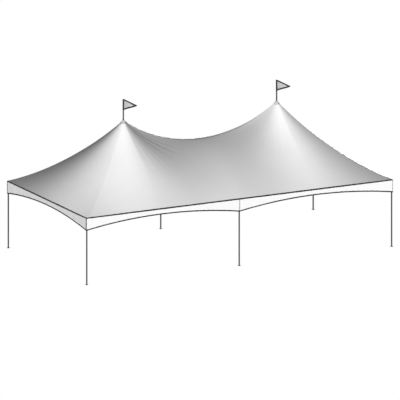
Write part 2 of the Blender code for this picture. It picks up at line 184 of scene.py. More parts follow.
add_lamp("key_lamp", **KEY_LAMP)
add_lamp("back_lamp", **BACK_LAMP)
print("lamps", KEY_LAMP["strength"], BACK_LAMP["strength"])

# %% [markdown]
# The sky does two things that need different strengths. To the camera it is the white page
# behind the tent. As light it is dim, or it would flatten every slope. A Light Path node
# tells the two kinds of ray apart. The Standard view transform leaves white as white.

# %% Sky
SKY_STRENGTH = 0.06


def grey(value):
    """A neutral colour."""
    return value, value, value, 1


def seen_or_lighting(tree, seen, lighting):
    """A shader that looks like seen to the camera and lights the scene like lighting."""
    path = tree.nodes.new("ShaderNodeLightPath")
    chooser = tree.nodes.new("ShaderNodeMixShader")
    tree.links.new(path.outputs["Is Camera Ray"], chooser.inputs["Fac"])
    tree.links.new(lighting, chooser.inputs[1])
    tree.links.new(seen, chooser.inputs[2])
    return chooser.outputs["Shader"]


def background(tree, strength):
    node = tree.nodes.new("ShaderNodeBackground")
    node.inputs["Color"].default_value = grey(1)
    node.inputs["Strength"].default_value = strength
    return node.outputs["Background"]


world = bpy.data.worlds.new("studio")
world.use_nodes = True
sky_tree = world.node_tree
sky_tree.nodes.clear()
sky_output = sky_tree.nodes.new("ShaderNodeOutputWorld")
sky_shader = seen_or_lighting(sky_tree, background(sky_tree, 1), background(sky_tree, SKY_STRENGTH))
sky_tree.links.new(sky_shader, sky_output.inputs["Surface"])
bpy.context.scene.world = world
bpy.context.scene.view_settings.view_transform = "Standard"
print("sky nodes", len(sky_tree.nodes))

# %% [markdown]
# The floor glows to the camera like the page, with a little paint on it for the shadow, and
# it lights the tent as plain pale paint. From below it is clear, so that the frame under the
# roof can be looked at too.

# %% Floor finish
FLOOR_GLOW = 0.985
FLOOR_SEEN = 0.10
FLOOR_PAINT = 0.85


def matt(tree, value):
    node = tree.nodes.new("ShaderNodeBsdfDiffuse")
    node.inputs["Color"].default_value = grey(value)
    return node.outputs["BSDF"]


floor_material = bpy.data.materials.new("studio_floor")
floor_material.use_nodes = True
floor_tree = floor_material.node_tree
floor_tree.nodes.clear()
floor_light = floor_tree.nodes.new("ShaderNodeEmission")
floor_light.inputs["Strength"].default_value = FLOOR_GLOW
lit_paint = floor_tree.nodes.new("ShaderNodeAddShader")
floor_tree.links.new(matt(floor_tree, FLOOR_SEEN), lit_paint.inputs[0])
floor_tree.links.new(floor_light.outputs["Emission"], lit_paint.inputs[1])
floor_shader = seen_or_lighting(
    floor_tree, lit_paint.outputs["Shader"], matt(floor_tree, FLOOR_PAINT),
)
see_through = floor_tree.nodes.new("ShaderNodeBsdfTransparent")
floor_side = floor_tree.nodes.new("ShaderNodeNewGeometry")
floor_mix = floor_tree.nodes.new("ShaderNodeMixShader")
floor_tree.links.new(floor_side.outputs["Backfacing"], floor_mix.inputs["Fac"])
floor_tree.links.new(floor_shader, floor_mix.inputs[1])
floor_tree.links.new(see_through.outputs["BSDF"], floor_mix.inputs[2])
floor_output = floor_tree.nodes.new("ShaderNodeOutputMaterial")
floor_tree.links.new(floor_mix.outputs["Shader"], floor_output.inputs["Surface"])
print("floor finish", len(floor_tree.nodes), "nodes")

# %% [markdown]
# The floor itself is a disc that reaches past the picture on every side. It lies a hair under
# the feet, and it is no part of the tent.

# %% Floor
FLOOR_RADIUS = 160
FLOOR_DEPTH = 0.0005
floor_bm = bmesh.new()
bmesh.ops.create_circle(floor_bm, cap_ends=True, segments=64, radius=FLOOR_RADIUS)
bmesh.ops.translate(floor_bm, verts=floor_bm.verts, vec=(0, 0, -FLOOR_DEPTH))
floor_mesh = bpy.data.meshes.new("studio_floor")
floor_bm.to_mesh(floor_mesh)
floor_bm.free()
floor_mesh.materials.append(floor_material)
add_object("studio_floor", floor_mesh)
print("floor", FLOOR_RADIUS, "m in radius")

# %% [markdown]
# Every surface reads Object coordinates or its own UV map through a few shared shader
# groups. A group is a small node tree with named inputs and outputs. What is fed to a socket
# may be a number or another node's output, which keeps a pattern readable as one expression.

# %% Groups and links
def new_group(name, inputs, outputs):
    """An empty shader group, from (name, kind, default) inputs and (name, kind) outputs."""
    group = bpy.data.node_groups.new(name, "ShaderNodeTree")
    for label, kind, value in inputs:
        socket = group.interface.new_socket(label, in_out="INPUT", socket_type=kind)
        socket.default_value = value
    for label, kind in outputs:
        group.interface.new_socket(label, in_out="OUTPUT", socket_type=kind)
    entry = group.nodes.new("NodeGroupInput")
    leave = group.nodes.new("NodeGroupOutput")
    return group, entry.outputs, leave.inputs


def feed(tree, socket, value):
    """Links a node's output to the socket, or sets the socket to a plain value."""
    if isinstance(value, bpy.types.NodeSocket):
        tree.links.new(value, socket)
    else:
        socket.default_value = value


trial_group, given, made = new_group("trial", [], [("Height", "NodeSocketFloat")])
feed(trial_group, made["Height"], 1.0)
print("an empty group has", len(trial_group.nodes), "nodes and", len(trial_group.links), "links")
bpy.data.node_groups.remove(trial_group)

# %% [markdown]
# A pattern needs few kinds of node: arithmetic, noise, and a range that cuts noise down to a
# mask, with which one colour is laid over another. A Mix node has sockets of the same name for
# numbers, vectors and colours, so its colour sockets are picked by their places.

# %% Pattern nodes
COLOUR_BELOW = 6
COLOUR_ABOVE = 7
COLOUR_RESULT = 2


def math_node(tree, operation, *values):
    node = tree.nodes.new("ShaderNodeMath")
    node.operation = operation
    for socket, value in zip(node.inputs, values):
        feed(tree, socket, value)
    return node.outputs["Value"]


def noise_node(tree, vector, scale, detail, roughness):
    node = tree.nodes.new("ShaderNodeTexNoise")
    settings = {"Vector": vector, "Scale": scale, "Detail": detail, "Roughness": roughness}
    for label, value in settings.items():
        feed(tree, node.inputs[label], value)
    return node.outputs["Fac"]


def range_node(tree, value, from_low, from_high, to_low=0.0, to_high=1.0):
    node = tree.nodes.new("ShaderNodeMapRange")
    ends = {"Value": value, "From Min": from_low, "From Max": from_high,
            "To Min": to_low, "To Max": to_high}
    for label, end in ends.items():
        feed(tree, node.inputs[label], end)
    return node.outputs["Result"]


def laid_over(tree, mask, below, above):
    """One colour with another laid over it where the mask is 1."""
    node = tree.nodes.new("ShaderNodeMix")
    node.data_type = "RGBA"
    tree.links.new(mask, node.inputs["Factor"])
    tree.links.new(below, node.inputs[COLOUR_BELOW])
    tree.links.new(above, node.inputs[COLOUR_ABOVE])
    return node.outputs[COLOUR_RESULT]


trial_group, given, made = new_group("trial", [], [("Height", "NodeSocketFloat")])
feed(trial_group, made["Height"], math_node(trial_group, "ADD", 1.0, 1.0))
print("with a sum in it,", len(trial_group.nodes), "nodes and", len(trial_group.links), "link")
bpy.data.node_groups.remove(trial_group)

# %% [markdown]
# The first group is the scrim inside coated vinyl: two sets of threads that cross and press
# through the coating as a fine grid. Each set is a sine along one axis.

# %% Group: scrim
scrim_group, given, made = new_group(
    "scrim_threads",
    [("Vector", "NodeSocketVector", (0, 0, 0)), ("Threads per metre", "NodeSocketFloat", 400.0)],
    [("Height", "NodeSocketFloat")],
)
split = scrim_group.nodes.new("ShaderNodeSeparateXYZ")
scrim_group.links.new(given["Vector"], split.inputs["Vector"])
turns = math_node(scrim_group, "MULTIPLY", given["Threads per metre"], math.tau)
threads = []
for axis in ("X", "Y"):
    phase = math_node(scrim_group, "MULTIPLY", split.outputs[axis], turns)
    threads.append(math_node(scrim_group, "ABSOLUTE", math_node(scrim_group, "SINE", phase)))
feed(scrim_group, made["Height"], math_node(scrim_group, "MAXIMUM", *threads))
print(scrim_group.name, len(scrim_group.nodes), "nodes")

# %% [markdown]
# White things outdoors are never one white. The second group lays soft clouds of a second
# tone over the first.

# %% Group: clouded tone
tone_group, given, made = new_group(
    "clouded_tone",
    [
        ("Vector", "NodeSocketVector", (0, 0, 0)),
        ("Clean", "NodeSocketColor", grey(0.8)),
        ("Aged", "NodeSocketColor", (0.7, 0.7, 0.68, 1)),
        ("Clouds per metre", "NodeSocketFloat", 1.0),
        ("Share aged", "NodeSocketFloat", 0.5),
    ],
    [("Color", "NodeSocketColor"), ("Mask", "NodeSocketFloat")],
)
clouds = noise_node(
    tone_group, given["Vector"], scale=given["Clouds per metre"], detail=5.0, roughness=0.6,
)
clouds = range_node(tone_group, clouds, from_low=0.35, from_high=0.75)
cloud_mask = math_node(tone_group, "MULTIPLY", clouds, given["Share aged"])
feed(tone_group, made["Color"], laid_over(tone_group, cloud_mask, given["Clean"], given["Aged"]))
feed(tone_group, made["Mask"], cloud_mask)
print(tone_group.name, len(tone_group.nodes), "nodes")

# %% [markdown]
# Rain throws soil up at whatever stands on the ground. The third group spots a surface with
# it, most at the ground and none above the splash.

# %% Group: ground splash
splash_group, given, made = new_group(
    "ground_splash",
    [
        ("Vector", "NodeSocketVector", (0, 0, 0)),
        ("Surface", "NodeSocketColor", grey(0.5)),
        ("Soil", "NodeSocketColor", (0.12, 0.10, 0.08, 1)),
        ("Splash height", "NodeSocketFloat", 0.25),
    ],
    [("Color", "NodeSocketColor")],
)
split = splash_group.nodes.new("ShaderNodeSeparateXYZ")
splash_group.links.new(given["Vector"], split.inputs["Vector"])
low = range_node(
    splash_group, split.outputs["Z"], from_low=0.0, from_high=given["Splash height"],
    to_low=0.35, to_high=0.0,
)
spots = noise_node(splash_group, given["Vector"], scale=55.0, detail=4.0, roughness=0.7)
spots = range_node(splash_group, spots, from_low=0.42, from_high=0.62)
splash_mask = math_node(splash_group, "MULTIPLY", low, spots)
soiled = laid_over(splash_group, splash_mask, given["Surface"], given["Soil"])
feed(splash_group, made["Color"], soiled)
print(splash_group.name, len(splash_group.nodes), "nodes")

# %% [markdown]
# Metal stock shows how it was made. Drawn tube has fine lines along its length, and handled
# metal has scuffs. The material stretches the group's coordinates along the stock.

# %% Group: drawn metal
metal_group, given, made = new_group(
    "drawn_metal",
    [
        ("Vector", "NodeSocketVector", (0, 0, 0)),
        ("Clean", "NodeSocketColor", grey(0.6)),
        ("Scuffed", "NodeSocketColor", grey(0.4)),
        ("Roughness", "NodeSocketFloat", 0.4),
    ],
    [("Color", "NodeSocketColor"), ("Roughness", "NodeSocketFloat"), ("Height", "NodeSocketFloat")],
)
lines = noise_node(metal_group, given["Vector"], scale=90.0, detail=4.0, roughness=0.6)
scuffs = noise_node(metal_group, given["Vector"], scale=7.0, detail=6.0, roughness=0.7)
scuffs = range_node(metal_group, scuffs, from_low=0.50, from_high=0.72, to_high=0.7)
feed(metal_group, made["Color"], laid_over(metal_group, scuffs, given["Clean"], given["Scuffed"]))
line_roughness = range_node(
    metal_group, lines, from_low=0.3, from_high=0.7, to_low=-0.06, to_high=0.10,
)
rougher = math_node(metal_group, "ADD", given["Roughness"], line_roughness)
feed(metal_group, made["Roughness"], rougher)
feed(metal_group, made["Height"], lines)
print(metal_group.name, len(metal_group.nodes), "nodes")

# %% [markdown]
# A material is then a short recipe. Each one keeps its own Principled shader, takes its
# coordinates, and passes them through the groups with values of its own.

# %% Recipe helpers
def new_material(name, **settings):
    """A material, its node tree and its shader, with the shader's sockets set by name."""
    material = bpy.data.materials.new(name)
    material.use_nodes = True
    shader = material.node_tree.nodes["Principled BSDF"]
    for label, value in settings.items():
        shader.inputs[label.replace("_", " ")].default_value = value
    return material, material.node_tree, shader


def coordinates(tree, kind="Object", stretch=(1, 1, 1)):
    """Object or UV coordinates in metres, stretched by a Mapping node."""
    source = tree.nodes.new("ShaderNodeTexCoord")
    mapping = tree.nodes.new("ShaderNodeMapping")
    mapping.inputs["Scale"].default_value = stretch
    tree.links.new(source.outputs[kind], mapping.inputs["Vector"])
    return mapping.outputs["Vector"]


def use_group(tree, group, **values):
    """A group node, with its inputs linked or set by name."""
    node = tree.nodes.new("ShaderNodeGroup")
    node.node_tree = group
    for label, value in values.items():
        feed(tree, node.inputs[label.replace("_", " ")], value)
    return node.outputs


def add_bump(tree, shader, height, distance, strength):
    bump = tree.nodes.new("ShaderNodeBump")
    bump.inputs["Distance"].default_value = distance
    bump.inputs["Strength"].default_value = strength
    tree.links.new(height, bump.inputs["Height"])
    tree.links.new(bump.outputs["Normal"], shader.inputs["Normal"])


trial_material, trial_tree, trial_shader = new_material("trial", Roughness=0.6)
add_bump(trial_tree, trial_shader, coordinates(trial_tree), distance=0.001, strength=0.5)
print("a material with coordinates and a bump has", len(trial_tree.nodes), "nodes")
bpy.data.materials.remove(trial_material)

# %% [markdown]
# The roof and the valance are the same laminate: white vinyl on a polyester scrim, with dust
# clouds a metre or two across. The caps and the doubled straps at the joints are greyer. A
# little sheen stands for the soft bloom of vinyl at a low angle.

# %% Vinyl materials
DUST_ROUGHNESS = 0.2


def vinyl_material(name, clean, aged, share_aged=0.5, roughness=0.5):
    material, tree, shader = new_material(name, Specular_IOR_Level=0.3, Sheen_Weight=0.05)
    tone = use_group(tree, tone_group, Vector=coordinates(tree), Clean=clean, Aged=aged,
                     Clouds_per_metre=0.8, Share_aged=share_aged)
    tree.links.new(tone["Color"], shader.inputs["Base Color"])
    rough_dust = roughness + DUST_ROUGHNESS
    dusty = range_node(tree, tone["Mask"], 0.0, 1.0, to_low=roughness, to_high=rough_dust)
    tree.links.new(dusty, shader.inputs["Roughness"])
    scrim = use_group(tree, scrim_group, Vector=coordinates(tree, "UV"), Threads_per_metre=180.0)
    add_bump(tree, shader, scrim["Height"], distance=0.0002, strength=0.25)
    return material


roof_vinyl = vinyl_material("roof_vinyl_white", clean=grey(0.80), aged=(0.74, 0.74, 0.735, 1))
valance_vinyl = vinyl_material(
    "valance_vinyl_white", clean=grey(0.76), aged=(0.72, 0.72, 0.715, 1), share_aged=0.4,
)
lap_vinyl = vinyl_material(
    "doubled_vinyl", clean=(0.40, 0.40, 0.405, 1), aged=grey(0.34), roughness=0.55,
)
cap_vinyl = vinyl_material("cap_vinyl_grey", clean=(0.52, 0.52, 0.53, 1), aged=grey(0.44))
print("vinyls", roof_vinyl.name, valance_vinyl.name, lap_vinyl.name, cap_vinyl.name)

# %% [markdown]
# Webbing and pennants are woven, not coated. The weave is coarser and matt, and it follows
# the piece's UV map, so that it runs along the webbing round every corner.

# %% Woven materials
def woven_material(name, clean, aged, threads_per_metre):
    material, tree, shader = new_material(
        name, Roughness=0.85, Specular_IOR_Level=0.2, Sheen_Weight=0.1,
    )
    tone = use_group(tree, tone_group, Vector=coordinates(tree), Clean=clean, Aged=aged,
                     Clouds_per_metre=6.0, Share_aged=0.8)
    tree.links.new(tone["Color"], shader.inputs["Base Color"])
    weave = use_group(tree, scrim_group, Vector=coordinates(tree, "UV"),
                      Threads_per_metre=threads_per_metre)
    add_bump(tree, shader, weave["Height"], distance=0.0006, strength=0.6)
    return material


webbing = woven_material(
    "black_webbing", clean=(0.018, 0.018, 0.019, 1), aged=grey(0.032), threads_per_metre=300.0,
)
# The pennants' mid grey is painted shade: the blade faces the front as the valance does, and the grey
# stands in for a face turned away from the light.
pennant_cloth_painted_shade = woven_material(
    "pennant_painted_shade_grey_cloth", clean=(0.44, 0.44, 0.445, 1), aged=grey(0.38), threads_per_metre=500.0,
)
print("wovens", webbing.name, pennant_cloth_painted_shade.name)

# %% [markdown]
# The legs look dark in the picture and the hidden frame is bright mill aluminium. Both use
# the drawn-metal group, with the lines stretched along the stock, and the legs add the soil
# that rain throws up at their feet.

# %% Metal materials
def metal_material(name, clean, scuffed, roughness, stretch=(1, 1, 1), splash=False, metallic=1.0):
    """A stretch under 1 along an axis draws the lines out along it."""
    material, tree, shader = new_material(name, Metallic=metallic)
    metal = use_group(tree, metal_group, Vector=coordinates(tree, "Object", stretch),
                      Clean=clean, Scuffed=scuffed, Roughness=roughness)
    colour = metal["Color"]
    if splash:
        colour = use_group(tree, splash_group, Vector=coordinates(tree), Surface=colour)["Color"]
    tree.links.new(colour, shader.inputs["Base Color"])
    tree.links.new(metal["Roughness"], shader.inputs["Roughness"])
    add_bump(tree, shader, metal["Height"], distance=0.0002, strength=0.3)
    return material


ALONG_LEGS = (1, 1, 0.04)
ALONG_TUBES = (0.05, 0.05, 1)
ALONG_STAFFS = (1, 1, 0.1)
leg_metal = metal_material(
    "leg_dark_anodised", clean=(0.015, 0.015, 0.016, 1), scuffed=grey(0.04), roughness=0.5,
    stretch=ALONG_LEGS, splash=True, metallic=0.0,
)
tube_metal = metal_material(
    "mill_aluminium", clean=(0.62, 0.63, 0.64, 1), scuffed=(0.48, 0.49, 0.5, 1),
    roughness=0.36, stretch=ALONG_TUBES,
)
cast_metal = metal_material(
    "welded_aluminium", clean=(0.56, 0.57, 0.58, 1), scuffed=(0.42, 0.43, 0.44, 1),
    roughness=0.5,
)
steel_metal = metal_material(
    "galvanised_rope", clean=(0.42, 0.43, 0.44, 1), scuffed=grey(0.28), roughness=0.45,
)
dark_paint = metal_material(
    "dark_staff_paint", clean=(0.02, 0.02, 0.021, 1), scuffed=grey(0.07), roughness=0.5,
    stretch=ALONG_STAFFS, metallic=0.0,
)
print("metals", leg_metal.name, tube_metal.name, cast_metal.name, steel_metal.name, dark_paint.name)

# %% [markdown]
# Now the makers. Each small shape is finished in a bmesh of its own at the origin and then
# joined to its piece by a matrix, so a shape never has to know where it will stand. A maker
# can also be tried on its own, and no open edges means that its shape is closed.

# %% Placing and joining
MERGE_DISTANCE = 0.00001
UP = (0, 0, 1)


def at(x, y, z):
    """The matrix that moves a shape to a place."""
    return Matrix.Translation((x, y, z))


def pointing(start, direction):
    """The matrix that puts a shape's base at start and its +Z along direction."""
    turn = Vector(direction).to_track_quat("Z", "Y")
    return Matrix.Translation(start) @ turn.to_matrix().to_4x4()


def join(bm, shape, matrix):
    """Places a finished shape in a larger piece."""
    bmesh.ops.transform(shape, matrix=matrix, verts=shape.verts)
    mesh = bpy.data.meshes.new("shape")
    shape.to_mesh(mesh)
    shape.free()
    bm.from_mesh(mesh)
    bpy.data.meshes.remove(mesh)


def merge_doubles(shape, distance=MERGE_DISTANCE):
    bmesh.ops.remove_doubles(shape, verts=shape.verts, dist=distance)


def tried(maker, *sizes):
    """Runs a maker on an empty bmesh and counts its faces and its open edges."""
    bm = bmesh.new()
    maker(bm, *sizes)
    counts = {"faces": len(bm.faces), "open edges": sum(edge.is_boundary for edge in bm.edges)}
    bm.free()
    return counts


ORIGIN = at(0, 0, 0)
turned_up = pointing((0, 0, 0), (1, 0, 0)).to_3x3() @ Vector(UP)
print("a base that points along +X turns +Z to", [round(part, 3) for part in turned_up])

# %% [markdown]
# A turned shape is a half outline spun round Z, and it is closed by merging the doubles on
# its seam and on its axis.

# %% Turned shapes
def add_turned(bm, profile, matrix, sides=32, ring=False):
    """Spins (radius, height) points round Z. A ring's last point joins its first."""
    shape = bmesh.new()
    verts = [shape.verts.new((radius, 0, height)) for radius, height in profile]
    edges = [shape.edges.new(pair) for pair in zip(verts, verts[1:])]
    if ring:
        edges.append(shape.edges.new((verts[-1], verts[0])))
    bmesh.ops.spin(
        shape, geom=verts + edges, cent=(0, 0, 0), axis=(0, 0, 1), angle=math.tau,
        steps=sides, use_merge=True,
    )
    merge_doubles(shape)
    join(bm, shape, matrix)


print("a turned cone", tried(add_turned, [(0, 0), (1, 0), (0, 1)], ORIGIN))

# %% [markdown]
# Nearly all the metal is round stock. A bar is spun from an outline that starts and ends on
# the axis, a tube from a thin rectangle beside it, and a bead of weld from a small circle.

# %% Bars, tubes and beads
BEAD_POINTS = 8


def add_rod(bm, radius, length, matrix, sides=32, edge=0.001):
    """A solid round bar from z = 0, with its two rims broken by edge."""
    profile = [(0, 0), (radius - edge, 0), (radius, edge), (radius, length - edge),
               (radius - edge, length), (0, length)]
    add_turned(bm, profile, matrix, sides)


def add_tube(bm, radius, bore, length, matrix, sides=32):
    profile = [(bore, 0), (bore, length), (radius, length), (radius, 0)]
    add_turned(bm, profile, matrix, sides, ring=True)


def add_bead(bm, radius, bead_radius, matrix, sides=32):
    """A ring of round section, as a weld bead is."""
    angles = [math.tau * step / BEAD_POINTS for step in range(BEAD_POINTS)]
    profile = [(radius + bead_radius * math.cos(angle), bead_radius * math.sin(angle))
               for angle in angles]
    add_turned(bm, profile, matrix, sides, ring=True)


print("a bar", tried(add_rod, 0.01, 1, ORIGIN), "a bead", tried(add_bead, 1, 0.01, ORIGIN))

# %% [markdown]
# Flat stock is a cube with its edges bevelled. Webbing is a band: a small section swept along
# any line that a function gives, which starts as a flat grid whose rows become the section.

# %% Blocks and bands
def add_block(bm, size, matrix, rounding):
    """A box of that size, centred on the matrix, with its edges rounded."""
    shape = bmesh.new()
    bmesh.ops.create_cube(shape, size=1, matrix=Matrix.Diagonal((*size, 1)))
    bmesh.ops.bevel(
        shape, geom=shape.edges[:], offset=rounding, segments=2, profile=0.5,
        affect="EDGES", material=-1,
    )
    join(bm, shape, matrix)


def unit_grid(bm, columns, rows):
    """A flat grid, as (vertex, u, v) rows in which u and v run from 0 to 1."""
    grid = bmesh.ops.create_grid(bm, x_segments=columns, y_segments=rows, size=0.5)
    return [(vertex, vertex.co.x + 0.5, vertex.co.y + 0.5) for vertex in grid["verts"]]


def close_ends(shape):
    rims = [edge for edge in shape.edges if edge.is_boundary]
    bmesh.ops.holes_fill(shape, edges=rims)


def add_band(bm, place, corners, columns):
    """A strip swept along place(u, a, b), with (a, b) at each corner of its section."""
    shape = bmesh.new()
    count = len(corners)
    for vertex, u, v in unit_grid(shape, columns, count):
        vertex.co = place(u, *corners[round(v * count) % count])
    merge_doubles(shape)
    close_ends(shape)
    join(bm, shape, ORIGIN)


print("a rounded block", tried(add_block, (1, 0.5, 0.1), ORIGIN, 0.01))

# %% [markdown]
# A soft piece needs a UV map in metres for its threads. Vertical cloth is mapped from the
# side that it faces, and the roof from straight above. Every finished piece gets outward
# normals, smooth shading with sharp edges kept, its place on the body and its finish slot.

# %% Makers of UV maps and finished pieces
def map_in_metres(bm, from_above=False):
    """UVs in metres, seen along each face's main axis or straight down."""
    layer = bm.loops.layers.uv.new("metres")
    for face in bm.faces:
        lean = [abs(part) for part in face.normal]
        away = 2 if from_above else lean.index(max(lean))
        axes = [axis for axis in range(3) if axis != away]
        for loop in face.loops:
            loop[layer].uv = (loop.vert.co[axes[0]], loop.vert.co[axes[1]])


def add_piece(name, bm, material, smooth_angle=35, nodes=()):
    """Makes the finished bmesh a piece of the tent that stands for its nodes."""
    bmesh.ops.recalc_face_normals(bm, faces=bm.faces)
    mesh = bpy.data.meshes.new(name)
    bm.to_mesh(mesh)
    bm.free()
    mesh.materials.append(material)
    mesh.shade_smooth()
    mesh.set_sharp_from_angle(angle=math.radians(smooth_angle))
    piece = add_object(name, mesh)
    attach(piece, BODY)
    if nodes:
        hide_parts(*nodes)
    return piece


def thicken(bm, offset):
    """Closes an open cloth into a thin shell by extruding a copy of it."""
    copied = bmesh.ops.extrude_face_region(bm, geom=bm.faces[:], use_keep_orig=True)
    moved = [item for item in copied["geom"] if isinstance(item, bmesh.types.BMVert)]
    bmesh.ops.translate(bm, verts=moved, vec=offset)


def add_trial_cloth(bm):
    unit_grid(bm, 4, 2)
    thicken(bm, UP)


print("a thickened cloth", tried(add_trial_cloth))

# %% [markdown]
# The roof is one sheet. Eight gores are drawn as grids, each vertex is sent to its plan
# point and lifted onto the formula, and merging the doubles along the seams leaves a single
# continuous cloth. Rows crowd towards the peaks, where the curvature is. Tight fabric over
# a mast also draws into faint radial ripples, a few millimetres deep, that die out downhill.

# %% Ripples and gores
SIDES = {"left": -1, "right": 1}
CROWN_OPENING = 0.060
RIPPLES = 34
RIPPLE_DEPTH = 0.0025
RIPPLE_EVENNESS = 0.5
RIPPLE_REACH = 2.6
RIPPLE_RISE = 0.7
RIPPLE_WANDER = 3
UNEVEN_ROUND = 2
UNEVEN_ALONG = 0.2
ROUND_A_SQUARE = [Vector(corner) for corner in ((-1, -1), (1, -1), (1, 1), (-1, 1), (-1, -1))]
CORNER_POINTS = [corner * HALF_BAY for corner in ROUND_A_SQUARE]
GORES = dict(zip(("front", "end", "back", "saddle"), zip(CORNER_POINTS, CORNER_POINTS[1:])))


def gore_point(outer, start, end, u, v):
    """Plan point of a gore: u runs across it, and v from the crown's opening to the eave."""
    edge = start.lerp(end, u)
    point = (edge.normalized() * CROWN_OPENING).lerp(edge, v)
    return outer * (HALF_BAY + point.x), point.y


def ripple(x, y):
    """Radial ripples round each peak, none at the crown and none far from it."""
    outwards = abs(x) - HALF_BAY
    away = min(math.hypot(outwards, y) / RIPPLE_REACH, 1)
    swell = math.sin(math.pi * away ** RIPPLE_RISE) ** 2
    angle = math.atan2(y, outwards)
    spot = Vector((math.cos(angle), math.sin(angle))) * UNEVEN_ROUND
    uneven = noise.noise(Vector((spot.x, spot.y, x * UNEVEN_ALONG)))
    fold = math.sin(RIPPLES * angle + RIPPLE_WANDER * uneven)
    return RIPPLE_DEPTH * swell * fold * (RIPPLE_EVENNESS + uneven)


def cloth_height(x, y):
    return roof_height(x, y) + ripple(x, y)


print("gores", list(GORES), "on each side")

# %% [markdown]
# The open sheet is measured first, and then a copy of it, two millimetres lower, closes it
# into a thin shell. The eave is left to its webbing, which covers the raw edge.

# %% Roof sheet
GORE_COLUMNS = 48
GORE_ROWS = 40
ROW_GRADING = 1.5
SEAM_MERGE = 0.0005
CLOTH_THICKNESS = 0.002
roof_bm = bmesh.new()
for outer in SIDES.values():
    for start, end in GORES.values():
        for vertex, u, v in unit_grid(roof_bm, GORE_COLUMNS, GORE_ROWS):
            x, y = gore_point(outer, start, end, u, v ** ROW_GRADING)
            vertex.co = (x, y, cloth_height(x, y))
merge_doubles(roof_bm, SEAM_MERGE)
roof_area = sum(face.calc_area() for face in roof_bm.faces)
thicken(roof_bm, (0, 0, -CLOTH_THICKNESS))
map_in_metres(roof_bm, from_above=True)
roof = add_piece(
    "roof_sheet", roof_bm, roof_vinyl, smooth_angle=60,
    nodes=[f"roof_{side}_{gore}" for side in SIDES for gore in GORES],
)
print("roof sheet", len(roof.data.polygons), "faces,", round(roof_area, 1), "m2")

# %% [markdown]
# Light falls on tensioned cloth in broad clean fans round each mast. A few thousand flat
# facets can't show them, so each vertex gets a normal of its own. It starts from the slope of
# the rippled cloth, without a crease across the saddle. A short series of waves round the
# peak then makes it a little steeper or turns it sideways.

# %% Slope and waves of light
SHADED_FORM = {**BUILT_FORM, "bulge_fade": 2.0}
STEEPER = ((0.233, -0.237), (0.168, 0.153), (-0.378, 0.296))
SIDEWAYS = ((0.169, -0.121), (-0.067, 0.019))
SLOPE_STEP = 0.01


def shaded_height(x, y):
    return roof_height(x, y, SHADED_FORM) + ripple(x, y)


def waves(orders, shape, angle, reach):
    """Sum of waves round a peak. Each has a height at the peak and a change per half bay."""
    return sum((near + change * reach) * shape(order * angle) for order, (near, change) in orders)


def cloth_slope(x, y):
    """Rise of the cloth per metre along X and along Y."""
    rise_x = shaded_height(x + SLOPE_STEP, y) - shaded_height(x - SLOPE_STEP, y)
    rise_y = shaded_height(x, y + SLOPE_STEP) - shaded_height(x, y - SLOPE_STEP)
    return Vector((rise_x, rise_y)) / (2 * SLOPE_STEP)


print("slope half way down the front", round(cloth_slope(HALF_BAY, -HALF_BAY / 2).y, 3))

# %% [markdown]
# Light also slides round the hips, so beyond a peak the normal is turned half way to face
# straight out. The waves are strongest near the mast, and they fade to nothing at the middle
# of the saddle. The same normals then go to every piece that lies on the cloth.

# %% Cloth normals
END_TURN = 0.5


def cloth_normal(x, y):
    """Upward normal of the cloth, with the waves of light round the nearer peak."""
    side = Vector((math.copysign(1, x), math.copysign(1, y)))
    fall = -cloth_slope(x, y) * side
    outwards = Vector((abs(x) - HALF_BAY, abs(y)))
    ray = outwards.normalized()
    if outwards.x > 0:
        fall = fall.lerp(ray * fall.length, END_TURN)
    angle = math.atan2(outwards.y, outwards.x)
    reach = outwards.length / HALF_BAY
    change = ray * waves(enumerate(STEEPER), math.cos, angle, reach)
    change += Vector((-ray.y, ray.x)) * waves(enumerate(SIDEWAYS, 1), math.sin, angle, reach)
    level = (fall + change * min(abs(x) / HALF_BAY, 1)) * side
    return Vector((level.x, level.y, 1)).normalized()


def shade_as_cloth(piece):
    """Gives both faces of a piece that lies on the roof the cloth's own normals."""
    normals = []
    for vertex in piece.data.vertices:
        upward = cloth_normal(vertex.co.x, vertex.co.y)
        normals.append(upward if vertex.normal.z > 0 else -upward)
    piece.data.normals_split_custom_set_from_vertices(normals)


shade_as_cloth(roof)
print("cloth normals", len(roof.data.vertices))

# %% [markdown]
# Panels of vinyl are welded edge over edge. Such a lap runs from each peak to the corners
# and down to the middle of each eave, and one lap joins the two bays. Each is a strip swept
# on the same formula, barely proud of the sheet.

# %% Welded laps
HALF_LAP = 0.016
LAP_LIFT = 0.0015
LAP_STEPS = 48
LAP_SECTION = [(-HALF_LAP, 0), (-HALF_LAP, LAP_LIFT), (HALF_LAP, LAP_LIFT), (HALF_LAP, 0)]


def lap_ends():
    """Start and end plan points of each lap."""
    for outer in SIDES.values():
        peak = Vector((outer * HALF_BAY, 0))
        for across in (-HALF_BAY, 0, HALF_BAY):
            for reach in (0, HALF_BAY):
                target = Vector((outer * (HALF_BAY + reach), across))
                if target != peak:
                    ray = (target - peak).normalized()
                    yield peak + ray * CROWN_OPENING * 2, target
    yield Vector((0, -HALF_BAY)), Vector((0, HALF_BAY))


def lap_point(start, end, u, sideways, lift):
    """A point at share u along a lap, moved sideways on the roof and lifted off it."""
    run = (end - start).normalized()
    spot = start.lerp(end, u) + Vector((-run.y, run.x)) * sideways
    x = max(-BAY, min(spot.x, BAY))
    y = max(-HALF_BAY, min(spot.y, HALF_BAY))
    return x, y, cloth_height(x, y) + lift


laps_bm = bmesh.new()
for start, end in lap_ends():
    add_band(laps_bm, partial(lap_point, start, end), LAP_SECTION, LAP_STEPS)
map_in_metres(laps_bm, from_above=True)
laps = add_piece("roof_laps", laps_bm, roof_vinyl)
shade_as_cloth(laps)
print("laps", len(laps.data.polygons), "faces")

# %% [markdown]
# The eave is the line that the eye reads first: 2 in black webbing folded over the roof's
# edge, part of it on the slope and the rest down the face. Its section is a thin angle that
# is swept round the four sides, and its upper leaf follows the roof's own height.

